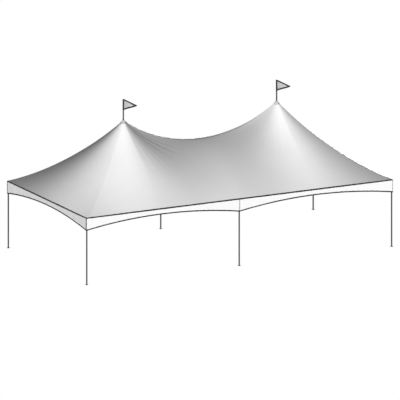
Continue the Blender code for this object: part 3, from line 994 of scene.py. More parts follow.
# %% Eave webbing
WEBBING_ON_ROOF = 0.020
WEBBING_ON_FACE = 0.030
WEBBING_THICKNESS = 0.0018
LEAF_FOOT = 0.0004
LEAF_FOLD = 0.0012
LEAF_TOP = 0.0020
STEPS_PER_SIDE = 90
EAVES = len(ROUND_A_SQUARE) - 1
FACES = {"front": -1, "back": 1}
EAVE_SECTION = [
    (0, -WEBBING_ON_FACE), (-WEBBING_THICKNESS, -WEBBING_ON_FACE),
    (-WEBBING_THICKNESS, LEAF_FOLD), (WEBBING_ON_ROOF, LEAF_TOP),
    (WEBBING_ON_ROOF, LEAF_FOOT), (0, LEAF_FOOT),
]


def eave_point(u, inset, lift):
    """A point round the eave: inset from the edge, and lift above the roof or the edge."""
    side = min(int(u * EAVES), EAVES - 1)
    corner, next_corner = ROUND_A_SQUARE[side:side + 2]
    sign_x, sign_y = corner.lerp(next_corner, u * EAVES - side)
    x, y = sign_x * (BAY - inset), sign_y * (HALF_BAY - inset)
    base = cloth_height(x, y) if inset > 0 else EAVE_HEIGHT
    return x, y, base + lift


eave_bm = bmesh.new()
add_band(eave_bm, eave_point, EAVE_SECTION, EAVES * STEPS_PER_SIDE)
map_in_metres(eave_bm)
eave_webbing = add_piece("eave_webbing", eave_bm, webbing, smooth_angle=30)
print("eave webbing", round(EAVES * (BAY + HALF_BAY), 2), "m round")

# %% [markdown]
# Each valance length is cut to a parabola, shallow at the middle of its span and deep at
# the legs. Hung vinyl is never quite flat, so low flutes grow from nothing at the eave to
# a few millimetres at the hem. One function places a point of the hanging cloth, and the
# hem's binding uses it too, so it follows the same flutes.

# %% Hem and flutes
SHALLOW_DROP = 0.203
DEEP_DROP = 0.457
FLUTES = 11
FLUTE_DEPTH = 0.005
FLUTE_GROWTH = 1.3
FLUTE_START = 12
FLUTE_WANDER = 4
FLUTE_LEAN = 0.5
UNEVENNESS_PER_METRE = 0.7
NOISE_LEVEL = 4


def hem_drop(u):
    """Drop of the hem below the eave, u from leg to leg."""
    return SHALLOW_DROP + (DEEP_DROP - SHALLOW_DROP) * (2 * u - 1) ** 2


def hung_point(start, end, outward, u, drop, proud):
    """A point on a hanging length, drop below the eave and proud of its outer face."""
    along = start.lerp(end, u)
    low = drop / DEEP_DROP
    steady = min(1, FLUTE_START * u * (1 - u))
    uneven = noise.noise(Vector((*(along * UNEVENNESS_PER_METRE), NOISE_LEVEL)))
    wave = math.sin(math.tau * FLUTES * u + FLUTE_WANDER * uneven) + FLUTE_LEAN
    flute = FLUTE_DEPTH * low ** FLUTE_GROWTH * steady * wave
    place = along + outward * (flute + proud)
    return place.x, place.y, EAVE_HEIGHT - drop


print("hem", round(hem_drop(0), 3), "at the legs and", round(hem_drop(0.5), 3), "at mid span")

# %% [markdown]
# A length is a grid of vinyl with a folded strip of the same black webbing over its hem. The
# strip's section is a small rectangle that wraps both faces of the cloth.

# %% Cloth and binding
HANG_GAP = 0.0025
HEM_ABOVE = 0.034
HEM_BELOW = 0.012
SPAN_COLUMNS = 110
SPAN_ROWS = 10
OUTER_FACE = WEBBING_THICKNESS
INNER_FACE = -CLOTH_THICKNESS - WEBBING_THICKNESS
HEM_SECTION = [(INNER_FACE, HEM_ABOVE), (INNER_FACE, -HEM_BELOW),
               (OUTER_FACE, -HEM_BELOW), (OUTER_FACE, HEM_ABOVE)]
PERIMETER_TUBES = [node for node in frame["nodes"]
                   if node.startswith(("eave_tube", "cross_tube_end"))]


def hem_point(start, end, outward, u, proud, up):
    return hung_point(start, end, outward, u, hem_drop(u) - up, proud)


def add_length(name, start, end, outward):
    """One valance length and its binding."""
    bm = bmesh.new()
    for vertex, u, v in unit_grid(bm, SPAN_COLUMNS, SPAN_ROWS):
        drop = HANG_GAP + v * (hem_drop(u) - HANG_GAP)
        vertex.co = hung_point(start, end, outward, u, drop, 0)
    thicken(bm, (-outward * CLOTH_THICKNESS).to_3d())
    map_in_metres(bm)
    cloth = add_piece(f"cloth_{name}", bm, valance_vinyl, smooth_angle=60,
                      nodes=[name])
    bm = bmesh.new()
    add_band(bm, partial(hem_point, start, end, outward), HEM_SECTION, SPAN_COLUMNS)
    map_in_metres(bm)
    binding = add_piece(f"hem_{name}", bm, webbing, smooth_angle=60)


# %% [markdown]
# There are two lengths on the front, two on the back and one on each end. The end lengths
# stop a hair short of the long sides, so that nothing meets in a corner.

# %% Valance lengths
END_SETBACK = 0.0026
for side, outer in SIDES.items():
    for face, facing in FACES.items():
        y = facing * HALF_BAY
        add_length(f"valance_{face}_{side}", Vector((0, y)), Vector((outer * BAY, y)),
                   Vector((0, facing)))
    x = outer * BAY
    reach = HALF_BAY - END_SETBACK
    add_length(f"valance_end_{side}", Vector((x, -reach)), Vector((x, reach)),
               Vector((outer, 0)))
print("valance lengths", len(SIDES) * len(FACES), "long sides and", len(SIDES), "ends")

# %% [markdown]
# Two lengths meet at every leg. At a middle leg a flat strap of doubled vinyl covers the
# joint. At a corner it is an angle of black webbing, narrow on the long side and wider on
# the end, where it takes the pull of the longer hem.

# %% Joint straps
STRAP_WIDTH = 0.046
SIDE_LEAF = 0.018
END_LEAF = 0.042
STRAP_THICKNESS = 0.002
STRAP_EDGE = 0.0006
strap_top = EAVE_HEIGHT - WEBBING_ON_FACE
strap_length = DEEP_DROP - WEBBING_ON_FACE - HEM_ABOVE
strap_middle = strap_top - strap_length / 2


def add_strap(bm, x, y, width_x, width_y):
    add_block(bm, (width_x, width_y, strap_length), at(x, y, strap_middle), STRAP_EDGE)


straps_bm, corners_bm = bmesh.new(), bmesh.new()
for facing in FACES.values():
    y_proud = facing * (HALF_BAY + STRAP_THICKNESS / 2)
    add_strap(straps_bm, 0, y_proud, STRAP_WIDTH, STRAP_THICKNESS)
    for outer in SIDES.values():
        x = outer * (BAY - SIDE_LEAF / 2 + STRAP_THICKNESS)
        add_strap(corners_bm, x, y_proud, SIDE_LEAF, STRAP_THICKNESS)
        x_proud = outer * (BAY + STRAP_THICKNESS / 2)
        y = facing * (HALF_BAY - END_LEAF / 2)
        add_strap(corners_bm, x_proud, y, STRAP_THICKNESS, END_LEAF)
map_in_metres(straps_bm)
map_in_metres(corners_bm)
straps = add_piece("joint_straps", straps_bm, lap_vinyl)
add_piece("corner_straps", corners_bm, webbing)
print("joint straps", len(straps.data.polygons), "faces")

# %% [markdown]
# The frame is 2 in tube that slides into short sockets, and parts that touch are kept a hair
# apart. The sockets stand just inside the valance and just under the roof, as deep as the
# solids make those, which gives the places of the six legs.

# %% Frame sizes
SEAT = 0.0003
TUBE_RADIUS = 0.0254
TUBE_WALL = 0.0032
SOCKET_WALL = 0.0033
SOCKET_REACH = 0.140
SOCKET_FLOOR = 0.036
VALANCE_DEPTH = 0.005
ROOF_DEPTH = 0.006
TUBE_BORE = TUBE_RADIUS - TUBE_WALL
SOCKET_BORE = TUBE_RADIUS + SEAT
SOCKET_RADIUS = SOCKET_BORE + SOCKET_WALL
FRAME_INSET = VALANCE_DEPTH + SEAT + SOCKET_RADIUS
FRAME_HEIGHT = EAVE_HEIGHT - ROOF_DEPTH - SEAT - SOCKET_RADIUS
LEG_X = BAY - FRAME_INSET
LEG_Y = HALF_BAY - FRAME_INSET
BEAD_RADIUS = 0.003
BEAD_STANDOFF = 0.001
LEG_PLACES = {
    f"{face}_{place}": (sign * LEG_X, facing * LEG_Y)
    for face, facing in FACES.items()
    for place, sign in (("left", -1), ("middle", 0), ("right", 1))
}
print("legs at", [round(value, 4) for value in (LEG_X, LEG_Y)])

# %% [markdown]
# The legs are dark round tube with a square foot plate. The plate's outline and its two
# stake holes are loops filled in one go, then pushed up to the plate's thickness, which
# leaves clean holes without a boolean.

# %% Legs
PLATE_WIDTH = 0.102
PLATE_THICKNESS = 0.0064
PLATE_CORNER = 0.010
STAKE_HOLE_RADIUS = 0.008
STAKE_HOLE_OFFSET = 0.037
FINE_SIDES = 48
TUBE_FOOT = 0.001
leg_length = FRAME_HEIGHT - SOCKET_FLOOR - SEAT


def add_plate(bm, matrix):
    """The foot plate: rounded corners and two holes for stakes."""
    shape = bmesh.new()
    outline = bmesh.ops.create_grid(shape, x_segments=1, y_segments=1, size=PLATE_WIDTH / 2)
    bmesh.ops.bevel(
        shape, geom=outline["verts"], offset=PLATE_CORNER, segments=5, profile=0.5,
        affect="VERTICES", material=-1,
    )
    bmesh.ops.delete(shape, geom=shape.faces[:], context="FACES_ONLY")
    for corner in (-STAKE_HOLE_OFFSET, STAKE_HOLE_OFFSET):
        bmesh.ops.create_circle(
            shape, segments=24, radius=STAKE_HOLE_RADIUS, matrix=at(corner, corner, 0),
        )
    bmesh.ops.triangle_fill(shape, use_beauty=True, edges=shape.edges[:], normal=(0, 0, 1))
    thicken(shape, (0, 0, PLATE_THICKNESS))
    join(bm, shape, matrix)


for name, (x, y) in LEG_PLACES.items():
    bm = bmesh.new()
    add_tube(bm, TUBE_RADIUS, TUBE_BORE, leg_length - TUBE_FOOT, at(x, y, TUBE_FOOT), FINE_SIDES)
    add_plate(bm, at(x, y, 0))
    add_bead(bm, TUBE_RADIUS + BEAD_STANDOFF, BEAD_RADIUS, at(x, y, PLATE_THICKNESS), FINE_SIDES)
    add_piece(f"leg_tube_{name}", bm, leg_metal, nodes=[f"leg_{name}"])
print("legs", len(LEG_PLACES), "length", round(leg_length, 3))

# %% [markdown]
# Every tube is held in its socket by a bolt right through both. A hexagon is a bar turned in
# six steps, so head, nut, washers and the end of the thread are five short bars.

# %% Bolts
WASHER_RADIUS = 0.0085
WASHER_THICKNESS = 0.0016
WASHER_EDGE = 0.0003
HEXAGON_RADIUS = 0.0068
HEAD_HEIGHT = 0.0055
NUT_HEIGHT = 0.0070
THREAD_RADIUS = 0.0039
THREAD_SHOWN = 0.004
BOLT_EDGE = 0.0006


def add_bolt(bm, centre, direction, half_grip):
    """A bolt right through: a hexagon head with a washer, and a nut at the other end."""
    axis = Vector(direction).normalized()
    for way, height in ((axis, HEAD_HEIGHT), (-axis, NUT_HEIGHT)):
        seat = Vector(centre) + way * half_grip
        top = seat + way * WASHER_THICKNESS
        washer = pointing(seat, way)
        add_rod(bm, WASHER_RADIUS, WASHER_THICKNESS, washer, sides=20, edge=WASHER_EDGE)
        add_rod(bm, HEXAGON_RADIUS, height, pointing(top, way), sides=6, edge=BOLT_EDGE)
    thread = pointing(top - axis * NUT_HEIGHT, -axis)
    add_rod(bm, THREAD_RADIUS, THREAD_SHOWN, thread, sides=12, edge=BOLT_EDGE)


print("a bolt through a socket", tried(add_bolt, (0, 0, 0), UP, SOCKET_RADIUS))

# %% [markdown]
# A fitting is short sockets welded round the leg's socket, with a lug for each cable. Each
# socket is turned with its bore, so that its open mouth shows round the tube. The legs' bolts
# run along the eave, or out to the corner, because the valance hangs close in front of them.

# %% Sockets and directions
MOUTH_EDGE = 0.001
SOCKET_PROFILE = [
    (0, 0), (SOCKET_RADIUS, 0), (SOCKET_RADIUS, SOCKET_REACH - MOUTH_EDGE),
    (SOCKET_RADIUS - MOUTH_EDGE, SOCKET_REACH), (SOCKET_BORE, SOCKET_REACH),
    (SOCKET_BORE, SOCKET_FLOOR), (0, SOCKET_FLOOR),
]


def leg_directions(x, y):
    """The ways in which level tubes leave a leg's head, and the way of the leg's bolt."""
    inwards = (0, -math.copysign(1, y), 0)
    if x == 0:
        return [inwards, (1, 0, 0), (-1, 0, 0)], (1, 0, 0)
    outer = math.copysign(1, x)
    return [inwards, (-outer, 0, 0)], (outer, math.copysign(1, y), 0)


def bay_peaks(x):
    """Plan points of the peaks whose cables start at a leg."""
    return [Vector((outer * HALF_BAY, 0)) for outer in SIDES.values() if x * outer >= 0]


print("a socket", tried(add_turned, SOCKET_PROFILE, ORIGIN))

# %% [markdown]
# Each of the six heads is then put together: the leg's socket with its rounded top, a level
# socket for each tube with a bead of weld where it meets the first, a bolt for each tube, and
# the lugs, which point at the peaks whose masts they help to carry.

# %% Fittings
POST_TOP = 0.024
POST_EDGE = 0.0025
LUG_REACH = 0.080
LUG_THICKNESS = 0.012
LUG_HEIGHT = 0.050
LUG_DROP = 0.075
LUG_ROUNDING = 0.003
BOLT_PLACE = 0.100
LEG_BOLT_DROP = 0.118
for name, (x, y) in LEG_PLACES.items():
    centre = Vector((x, y, FRAME_HEIGHT))
    level, bolt_way = leg_directions(x, y)
    fitting_bm, bolts_bm = bmesh.new(), bmesh.new()
    add_turned(fitting_bm, SOCKET_PROFILE, pointing(centre, (0, 0, -1)))
    add_rod(fitting_bm, SOCKET_RADIUS, POST_TOP, at(*centre), edge=POST_EDGE)
    add_bolt(bolts_bm, centre - Vector(UP) * LEG_BOLT_DROP, bolt_way, SOCKET_RADIUS)
    for direction in level:
        add_turned(fitting_bm, SOCKET_PROFILE, pointing(centre, direction))
        seam = centre + Vector(direction) * (SOCKET_RADIUS + BEAD_STANDOFF)
        add_bead(fitting_bm, SOCKET_RADIUS, BEAD_RADIUS, pointing(seam, direction))
        add_bolt(bolts_bm, centre + Vector(direction) * BOLT_PLACE, UP, SOCKET_RADIUS)
    for peak in bay_peaks(x):
        inward = Vector((peak.x - x, peak.y - y, 0)).normalized()
        turn = Matrix.Rotation(math.atan2(inward.y, inward.x), 4, "Z")
        lug = centre + inward * LUG_REACH / 2 - Vector(UP) * LUG_DROP
        lug_size = (LUG_REACH, LUG_THICKNESS, LUG_HEIGHT)
        add_block(fitting_bm, lug_size, at(*lug) @ turn, LUG_ROUNDING)
    add_piece(f"welded_fitting_{name}", fitting_bm, cast_metal,
              nodes=[f"fitting_{name}"])
    add_piece(f"fitting_bolts_{name}", bolts_bm, steel_metal)
print("fittings", len(LEG_PLACES))

# %% [markdown]
# The eave and cross tubes are plain round stock. Each is really two lengths with a sleeve
# over the joint, held by a bolt on either side, and this is where it is shown.

# %% Tubes and splice sleeves
SLEEVE_LENGTH = 0.300
TUBE_START = SOCKET_FLOOR + SEAT
tube_runs = {}
for face, facing in FACES.items():
    for side, outer in SIDES.items():
        start = Vector((outer * TUBE_START, facing * LEG_Y, FRAME_HEIGHT))
        run = (start, Vector((outer, 0, 0)), LEG_X - 2 * TUBE_START)
        tube_runs[f"eave_tube_{face}_{side}"] = run
for place, x in (("end_left", -LEG_X), ("middle", 0), ("end_right", LEG_X)):
    start = Vector((x, TUBE_START - LEG_Y, FRAME_HEIGHT))
    tube_runs[f"cross_tube_{place}"] = (start, Vector((0, 1, 0)), 2 * (LEG_Y - TUBE_START))
for name, (start, direction, length) in tube_runs.items():
    tube_bm, bolts_bm = bmesh.new(), bmesh.new()
    add_tube(tube_bm, TUBE_RADIUS, TUBE_BORE, length, pointing(start, direction))
    middle = start + direction * length / 2
    sleeve = pointing(middle - direction * SLEEVE_LENGTH / 2, direction)
    add_tube(tube_bm, SOCKET_RADIUS, TUBE_RADIUS, SLEEVE_LENGTH, sleeve)
    for sign in (-1, 1):
        seat = middle + direction * sign * SLEEVE_LENGTH / 3
        add_bolt(bolts_bm, seat, UP, SOCKET_RADIUS)
    add_piece(f"round_{name}", tube_bm, tube_metal, nodes=[name])
    add_piece(f"splice_bolts_{name}", bolts_bm, steel_metal)
print("tubes", len(tube_runs))

# %% [markdown]
# Inside, short straps with buckles hold the roof's edge to the tubes every metre or so. Each
# is a band round the tube with a small buckle on its inner side. The middle one would lie on
# the sleeve, so it stands beside it.

# %% Edge straps
STRAPS_PER_SPAN = 5
BESIDE_SLEEVE = 0.25
LOOP_WIDTH = 0.025
LOOP_BORE = TUBE_RADIUS + 0.0005
LOOP_RADIUS = TUBE_RADIUS + 0.0025
BUCKLE_SIZE = (0.034, 0.008, 0.026)
BUCKLE_REACH = TUBE_RADIUS + 0.006
BUCKLE_ROUNDING = 0.0015
QUARTER_TURN = Matrix.Rotation(math.radians(90), 4, "Z")


def inner_side(place, direction):
    """The level direction from a tube towards the inside of the tent."""
    if abs(direction.x) > 0.5:
        return Vector((0, -math.copysign(1, place.y), 0))
    return Vector((-math.copysign(1, place.x), 0, 0))


loops_bm, buckles_bm = bmesh.new(), bmesh.new()
for name in PERIMETER_TUBES:
    start, direction, length = tube_runs[name]
    for index in range(STRAPS_PER_SPAN):
        place = start + direction * length * (index + 0.5) / STRAPS_PER_SPAN
        if index == STRAPS_PER_SPAN // 2:
            place += direction * BESIDE_SLEEVE
        loop_start = pointing(place - direction * LOOP_WIDTH / 2, direction)
        add_tube(loops_bm, LOOP_RADIUS, LOOP_BORE, LOOP_WIDTH, loop_start)
        buckle = pointing(place + inner_side(place, direction) * BUCKLE_REACH, direction)
        add_block(buckles_bm, BUCKLE_SIZE, buckle @ QUARTER_TURN, BUCKLE_ROUNDING)
add_piece("edge_strap_loops", loops_bm, webbing)
add_piece("edge_strap_buckles", buckles_bm, steel_metal)
print("edge straps", STRAPS_PER_SPAN * len(PERIMETER_TUBES))

# %% [markdown]
# Under each peak a flying mast stands on four crossed cables. Its hub is two plates with the
# cable forks pinned between them, and its crown is the disc that stretches the fabric. Hub,
# tube and crown share one axis, so one outline turns them all.

# %% Masts
HUB_HEIGHT = 2.205
HUB_RADIUS = 0.070
HUB_THICKNESS = 0.060
HUB_PLATE = 0.010
HUB_EDGE = 0.002
CROWN_RADIUS = 0.0595
CROWN_DROP = 0.040
CROWN_TOP = PEAK_HEIGHT + TIP_RISE - CROWN_DROP
CROWN_THICKNESS = 0.040
CROWN_TAPER = 0.030
CROWN_EDGE = 0.006
CROWN_FILLET = 0.003
CROWN_NECK = TUBE_RADIUS + 0.004
SPACER_RADIUS = TUBE_RADIUS + 0.003
hub_top = HUB_HEIGHT + HUB_THICKNESS / 2
hub_bottom = HUB_HEIGHT - HUB_THICKNESS / 2
crown_bottom = CROWN_TOP - CROWN_THICKNESS
mast_profile = [
    (0, CROWN_TOP), (CROWN_RADIUS - CROWN_EDGE, CROWN_TOP), (CROWN_RADIUS, CROWN_TOP - CROWN_EDGE),
    (CROWN_RADIUS, crown_bottom + CROWN_FILLET), (CROWN_RADIUS - CROWN_FILLET, crown_bottom),
    (CROWN_NECK, crown_bottom - CROWN_TAPER + CROWN_FILLET),
    (TUBE_RADIUS, crown_bottom - CROWN_TAPER), (TUBE_RADIUS, hub_top),
    (HUB_RADIUS - HUB_EDGE, hub_top), (HUB_RADIUS, hub_top - HUB_EDGE),
    (HUB_RADIUS, hub_top - HUB_PLATE), (SPACER_RADIUS, hub_top - HUB_PLATE),
    (SPACER_RADIUS, hub_bottom + HUB_PLATE), (HUB_RADIUS, hub_bottom + HUB_PLATE),
    (HUB_RADIUS, hub_bottom + HUB_EDGE), (HUB_RADIUS - HUB_EDGE, hub_bottom),
    (TUBE_BORE, hub_bottom), (TUBE_BORE, crown_bottom), (0, crown_bottom),
]
for side, outer in SIDES.items():
    bm = bmesh.new()
    add_turned(bm, mast_profile, at(outer * HALF_BAY, 0, 0), FINE_SIDES)
    weld = at(outer * HALF_BAY, 0, hub_top)
    add_bead(bm, TUBE_RADIUS + BEAD_STANDOFF, BEAD_RADIUS, weld, FINE_SIDES)
    add_piece(f"flying_mast_{side}", bm, cast_metal, nodes=[f"mast_{side}"])
print("masts", round(CROWN_TOP - hub_bottom, 3), "long")

# %% [markdown]
# A wire rope is six strands laid round a core. Its lobed section is turned as it is swept,
# which costs a few thousand faces a rope and catches the light as rope does.

# %% Wire rope
ROPE_RADIUS = 0.0048
STRAND_VALLEY = 0.78
ROPE_LAY = 0.075
RINGS_PER_LAY = 7
SECTION_POINTS = 12


def add_rope(bm, length, matrix):
    """Six strands from z = 0 to z = length."""
    shape = bmesh.new()
    rings = round(length / ROPE_LAY * RINGS_PER_LAY)
    for vertex, u, v in unit_grid(shape, rings, SECTION_POINTS):
        height = u * length
        step = round(v * SECTION_POINTS) % SECTION_POINTS
        radius = ROPE_RADIUS * (1 if step % 2 == 0 else STRAND_VALLEY)
        angle = math.tau * (step / SECTION_POINTS + height / ROPE_LAY)
        vertex.co = (radius * math.cos(angle), radius * math.sin(angle), height)
    merge_doubles(shape)
    close_ends(shape)
    join(bm, shape, matrix)


print("a metre of rope", tried(add_rope, 1, ORIGIN))

# %% [markdown]
# A fork is swaged on each end of a rope and pinned through the lug or the hub: a shank, a
# shoulder, and two cheeks with a bolt for a pin.

# %% Forks
FORK_RADIUS = 0.010
SHANK_RADIUS = 0.0072
MOUTH_RADIUS = 0.0056
FORK_LENGTH = 0.060
FORK_FACE = 0.006
FORK_BEVEL = 0.002
SHOULDER_START = 0.024
SHOULDER_END = 0.030
MOUTH_LENGTH = 0.004
FORK_PROFILE = [
    (0, FORK_FACE), (FORK_RADIUS, FORK_FACE + FORK_BEVEL), (FORK_RADIUS, SHOULDER_START),
    (SHANK_RADIUS, SHOULDER_END), (SHANK_RADIUS, FORK_LENGTH - MOUTH_LENGTH),
    (MOUTH_RADIUS, FORK_LENGTH), (0, FORK_LENGTH),
]
CHEEK_SIZE = (0.020, 0.004, 0.046)
CHEEK_SPREAD = 0.0088
CHEEK_BACK = 0.008
PIN_INSET = 0.018
PIN_HALF_GRIP = 0.0108
BAR_ROUNDING = 0.0012


def add_fork(bm, matrix):
    """A swaged end from z = 0, with its cheeks and pin past the end."""
    add_turned(bm, FORK_PROFILE, matrix, sides=20)
    for sign in (-1, 1):
        cheek = matrix @ at(0, sign * CHEEK_SPREAD, -CHEEK_BACK)
        add_block(bm, CHEEK_SIZE, cheek, BAR_ROUNDING)
    pin = matrix @ at(0, 0, -PIN_INSET)
    add_bolt(bm, pin.translation, pin.to_3x3() @ Vector((0, 1, 0)), PIN_HALF_GRIP)


print("a fork", tried(add_fork, ORIGIN))

# %% [markdown]
# Near a cable's outer end an open turnbuckle takes up the slack. It has two side bars between
# two bosses, and a screw that comes out of each boss.

# %% Turnbuckles
TURNBUCKLE_START = 0.110
TURNBUCKLE_LENGTH = 0.240
BOSS_RADIUS = 0.0125
BOSS_LENGTH = 0.022
BOSS_EDGE = 0.002
BAR_SIZE = (0.005, 0.011, TURNBUCKLE_LENGTH - 0.030)
BAR_SPREAD = 0.010
SCREW_RADIUS = 0.0060
SCREW_LENGTH = 0.100
SCREW_STARTS = (-0.045, TURNBUCKLE_LENGTH - 0.055)


def add_turnbuckle(bm, matrix):
    """An open body from z = 0, with the screws seen inside."""
    for height in (0, TURNBUCKLE_LENGTH - BOSS_LENGTH):
        boss = matrix @ at(0, 0, height)
        add_rod(bm, BOSS_RADIUS, BOSS_LENGTH, boss, sides=20, edge=BOSS_EDGE)
    for sign in (-1, 1):
        bar = matrix @ at(sign * BAR_SPREAD, 0, TURNBUCKLE_LENGTH / 2)
        add_block(bm, BAR_SIZE, bar, BAR_ROUNDING)
    for height in SCREW_STARTS:
        add_rod(bm, SCREW_RADIUS, SCREW_LENGTH, matrix @ at(0, 0, height), sides=16)


print("a turnbuckle", tried(add_turnbuckle, ORIGIN))

# %% [markdown]
# Each cable runs taut from a leg's lug to the flat of its hub. Its two ends each get a matrix
# that points into the cable, and everything on the cable is placed from one of them.

# %% Cross cables
CABLE_END_GAP = 0.0005
ROPE_INSET = 0.01
HUB_SIDES = 12
HUB_FLAT = HUB_RADIUS * math.cos(math.pi / HUB_SIDES)


def cable_ends(hub, x, y):
    """Where a cable starts at a leg's lug, and where it ends at the hub."""
    lug = Vector((x, y, FRAME_HEIGHT - LUG_DROP))
    inward = Vector((hub.x - x, hub.y - y, 0)).normalized()
    start = lug + inward * (LUG_REACH + CABLE_END_GAP)
    return start, hub - inward * (HUB_FLAT + CABLE_END_GAP)


cable_lengths = []
for side, outer in SIDES.items():
    for name, (x, y) in LEG_PLACES.items():
        if x * outer < 0:
            continue
        start, end = cable_ends(Vector((outer * HALF_BAY, 0, HUB_HEIGHT)), x, y)
        length = (end - start).length
        label = f"cable_{name}_{side}" if name.endswith("middle") else f"cable_{name}"
        from_lug = pointing(start, end - start)
        from_hub = pointing(end, start - end)
        rope_bm, ends_bm = bmesh.new(), bmesh.new()
        add_rope(rope_bm, length - 2 * ROPE_INSET, from_lug @ at(0, 0, ROPE_INSET))
        add_turnbuckle(ends_bm, from_lug @ at(0, 0, TURNBUCKLE_START))
        add_fork(ends_bm, from_lug)
        add_fork(ends_bm, from_hub)
        add_piece(f"rope_{label}", rope_bm, steel_metal, smooth_angle=70,
                  nodes=[label])
        add_piece(f"rope_ends_{label}", ends_bm, steel_metal)
        cable_lengths.append(round(length, 3))
print("ropes", len(cable_lengths), "lengths", sorted(set(cable_lengths)))

# %% [markdown]
# A soft cap of grey vinyl keeps rain out of each crown. It starts as a turned outline: a
# collar for the staff, a skirt that curves down to a rim, and an underside that follows the
# roof back up to the crown.

# %% Cap outline
STAFF_RADIUS = 0.0254
CAP_RADIUS = 0.130
CAP_CLEARANCE = 0.005
CAP_TOP = PEAK_HEIGHT + TIP_RISE + CAP_CLEARANCE
CAP_LIFT = 0.003
CAP_SHOULDER = 0.070
CAP_INNER_REACH = 0.060
CAP_NECK = 0.034
COLLAR_DEPTH = 0.030
COLLAR_EDGE = (0.003, 0.004)
RIM_EDGE = (0.001, 0.003)
CAP_THROAT = CAP_NECK + 0.006
THROAT_DROP = 0.012
RIM_RISE = 0.006
CAP_HOLLOW = 0.92
CAP_STEPS = 8
CROWN_GAP = 0.001
cap_bore = STAFF_RADIUS + SEAT
cap_rim = roof_height(HALF_BAY, CAP_RADIUS) + CAP_LIFT
cap_rise = CAP_TOP - cap_rim
cap_profile = [
    (cap_bore, CAP_TOP - COLLAR_DEPTH), (cap_bore, CAP_TOP), (CAP_NECK - COLLAR_EDGE[0], CAP_TOP),
    (CAP_NECK, CAP_TOP - COLLAR_EDGE[1]), (CAP_THROAT, CAP_TOP - THROAT_DROP),
]
for step in range(1, CAP_STEPS + 1):
    share = step / CAP_STEPS
    radius = CAP_THROAT + (CAP_RADIUS - CAP_THROAT) * share
    fall = (cap_rise - THROAT_DROP - RIM_RISE) * share ** CAP_HOLLOW
    cap_profile.append((radius, CAP_TOP - THROAT_DROP - fall))
cap_profile += [
    (CAP_RADIUS + RIM_EDGE[0], cap_rim + RIM_EDGE[1]), (CAP_RADIUS, cap_rim),
    (CAP_SHOULDER, roof_height(HALF_BAY, CAP_SHOULDER) + CAP_LIFT),
    (CAP_INNER_REACH, CROWN_TOP + CROWN_GAP), (cap_bore, CROWN_TOP + CROWN_GAP),
]
print("cap rise", round(cap_rise, 3))

# %% [markdown]
# The skirt is then let down onto the fabric, so that it lies close on every side. The stiff
# part round the collar stays as it was turned, and between the two the cap gives way softly.

# %% Peak caps
CAP_STIFF = 0.040
CAP_SOFT = 0.110


def let_down(vertex):
    """Lowers or lifts a point of the cap's skirt as the fabric under it lies."""
    x, y = vertex.co.xy
    radius = math.hypot(x, y)
    softness = max(0, min((radius - CAP_STIFF) / (CAP_SOFT - CAP_STIFF), 1))
    vertex.co.z += softness * (roof_height(HALF_BAY + x, y) - roof_height(HALF_BAY, radius))


for side, outer in SIDES.items():
    bm = bmesh.new()
    add_turned(bm, cap_profile, ORIGIN, sides=64, ring=True)
    for vertex in bm.verts:
        let_down(vertex)
    if outer < 0:
        half_turn = Matrix.Rotation(math.pi, 3, "Z")
        bmesh.ops.rotate(bm, verts=bm.verts, cent=(0, 0, 0), matrix=half_turn)
    bmesh.ops.translate(bm, verts=bm.verts, vec=(outer * HALF_BAY, 0, 0))
    map_in_metres(bm, from_above=True)
    cap = add_piece(f"soft_cap_{side}", bm, cap_vinyl, smooth_angle=50,
                    nodes=[f"peak_cap_{side}"])
    print(cap.name, len(cap.data.polygons), "faces")

# %% [markdown]
# The staff stands in the cap's collar with a clamp round it, and ends in a flat button.

# %% Flagstaffs
STAFF_TOP = 5.745
STAFF_DEPTH = 0.035
STAFF_FOOT = CAP_TOP - STAFF_DEPTH + SEAT
STAFF_SIDES = 40
BUTTON_RADIUS = 0.030
BUTTON_HEIGHT = 0.008
BUTTON_EDGE = 0.001
BUTTON_BEVEL = 0.002
BUTTON_CROWN = 0.005
CLAMP_RADIUS = STAFF_RADIUS + 0.0045
CLAMP_HEIGHT = 0.018
CLAMP_LIFT = 0.002
staff_profile = [
    (0, STAFF_TOP), (BUTTON_RADIUS - BUTTON_CROWN, STAFF_TOP),
    (BUTTON_RADIUS - BUTTON_EDGE, STAFF_TOP - BUTTON_BEVEL),
    (BUTTON_RADIUS, STAFF_TOP - BUTTON_CROWN),
    (BUTTON_RADIUS - BUTTON_EDGE, STAFF_TOP - BUTTON_HEIGHT),
    (STAFF_RADIUS, STAFF_TOP - BUTTON_HEIGHT), (STAFF_RADIUS, STAFF_FOOT), (0, STAFF_FOOT),
]
for side, outer in SIDES.items():
    bm = bmesh.new()
    add_turned(bm, staff_profile, at(outer * HALF_BAY, 0, 0), STAFF_SIDES)
    clamp = at(outer * HALF_BAY, 0, CAP_TOP + CLAMP_LIFT)
    add_tube(bm, CLAMP_RADIUS, STAFF_RADIUS, CLAMP_HEIGHT, clamp, STAFF_SIDES)
    add_piece(f"staff_{side}", bm, dark_paint, nodes=[f"flagstaff_{side}"])
print("staff", round(STAFF_TOP - STAFF_FOOT, 3), "long")

# %% [markdown]
# A pennant flies from each staff. Its blade tapers to a point that hangs a little, with a
# slow wave along it. Its hoist is a sleeve on the staff, and black binding follows the two
# long edges and meets at the tip.

# %% Pennant shape
HOIST = 0.385
FLY = 0.555
DROOP = 0.108
PENNANT_TOP = STAFF_TOP - BUTTON_HEIGHT - SEAT
PENNANT_HEM = 0.003
TIP_HEIGHT = 0.008
WAVE_DEPTH = 0.016
WAVE_GROWTH = 0.8
WAVES_ALONG = 1.2
BINDING_INSIDE = 0.048
BINDING_OUTSIDE = 0.008
BINDING_PROUD = 0.0026
BINDING_SECTION = [
    (-BINDING_PROUD, -BINDING_OUTSIDE), (BINDING_PROUD, -BINDING_OUTSIDE),
    (BINDING_PROUD, BINDING_INSIDE), (-BINDING_PROUD, BINDING_INSIDE),
]


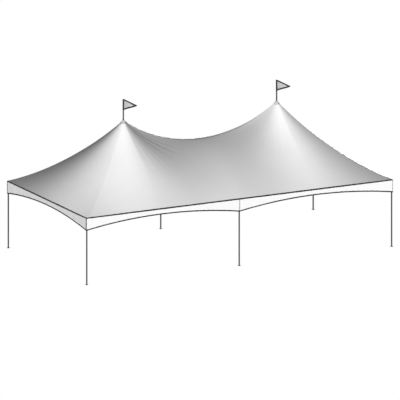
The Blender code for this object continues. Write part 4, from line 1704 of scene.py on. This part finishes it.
def blade_height(u):
    return (HOIST - 2 * PENNANT_HEM) * (1 - u) + TIP_HEIGHT * u


def pennant_point(outer, u, from_top, proud):
    """A point at share u along the blade, from_top below its upper edge."""
    x = outer * HALF_BAY + STAFF_RADIUS + (FLY - STAFF_RADIUS) * u
    wave = WAVE_DEPTH * u ** WAVE_GROWTH * math.sin(math.tau * WAVES_ALONG * u)
    tip_fall = (blade_height(0) - blade_height(1)) / 2 + DROOP
    return x, wave + proud, PENNANT_TOP - PENNANT_HEM - tip_fall * u - from_top


def binding_point(outer, along_top, u, proud, inset):
    """A point on the binding of the upper or the lower edge, inset from that edge."""
    depth = min(inset, blade_height(u) / 2)
    from_top = depth if along_top else blade_height(u) - depth
    return pennant_point(outer, u, from_top, proud)


print("pennant tip falls to", round(pennant_point(1, 1, 0, 0)[2], 3))

# %% [markdown]
# The blade is a grid that tapers with the shape above, and the two bindings are bands round
# its edges, thick enough to cover both of its faces.

# %% Pennants
BLADE_COLUMNS = 40
BLADE_ROWS = 12
BLADE_THICKNESS = 0.0016
SLEEVE_RADIUS = STAFF_RADIUS + 0.0033
for side, outer in SIDES.items():
    blade_bm, binding_bm = bmesh.new(), bmesh.new()
    for vertex, u, v in unit_grid(blade_bm, BLADE_COLUMNS, BLADE_ROWS):
        vertex.co = pennant_point(outer, u, v * blade_height(u), BLADE_THICKNESS / 2)
    thicken(blade_bm, (0, -BLADE_THICKNESS, 0))
    map_in_metres(blade_bm)
    blade = add_piece(f"pennant_blade_{side}", blade_bm, pennant_cloth_painted_shade,
                      smooth_angle=60, nodes=[f"pennant_{side}"])
    for along_top in (True, False):
        edge_point = partial(binding_point, outer, along_top)
        add_band(binding_bm, edge_point, BINDING_SECTION, BLADE_COLUMNS)
    sleeve = at(outer * HALF_BAY, 0, PENNANT_TOP - HOIST)
    add_tube(binding_bm, SLEEVE_RADIUS, STAFF_RADIUS + SEAT, HOIST, sleeve)
    map_in_metres(binding_bm)
    binding = add_piece(f"pennant_binding_{side}", binding_bm, webbing,
                        smooth_angle=50)
print("pennants", len(SIDES), "hoist", HOIST, "fly", FLY)
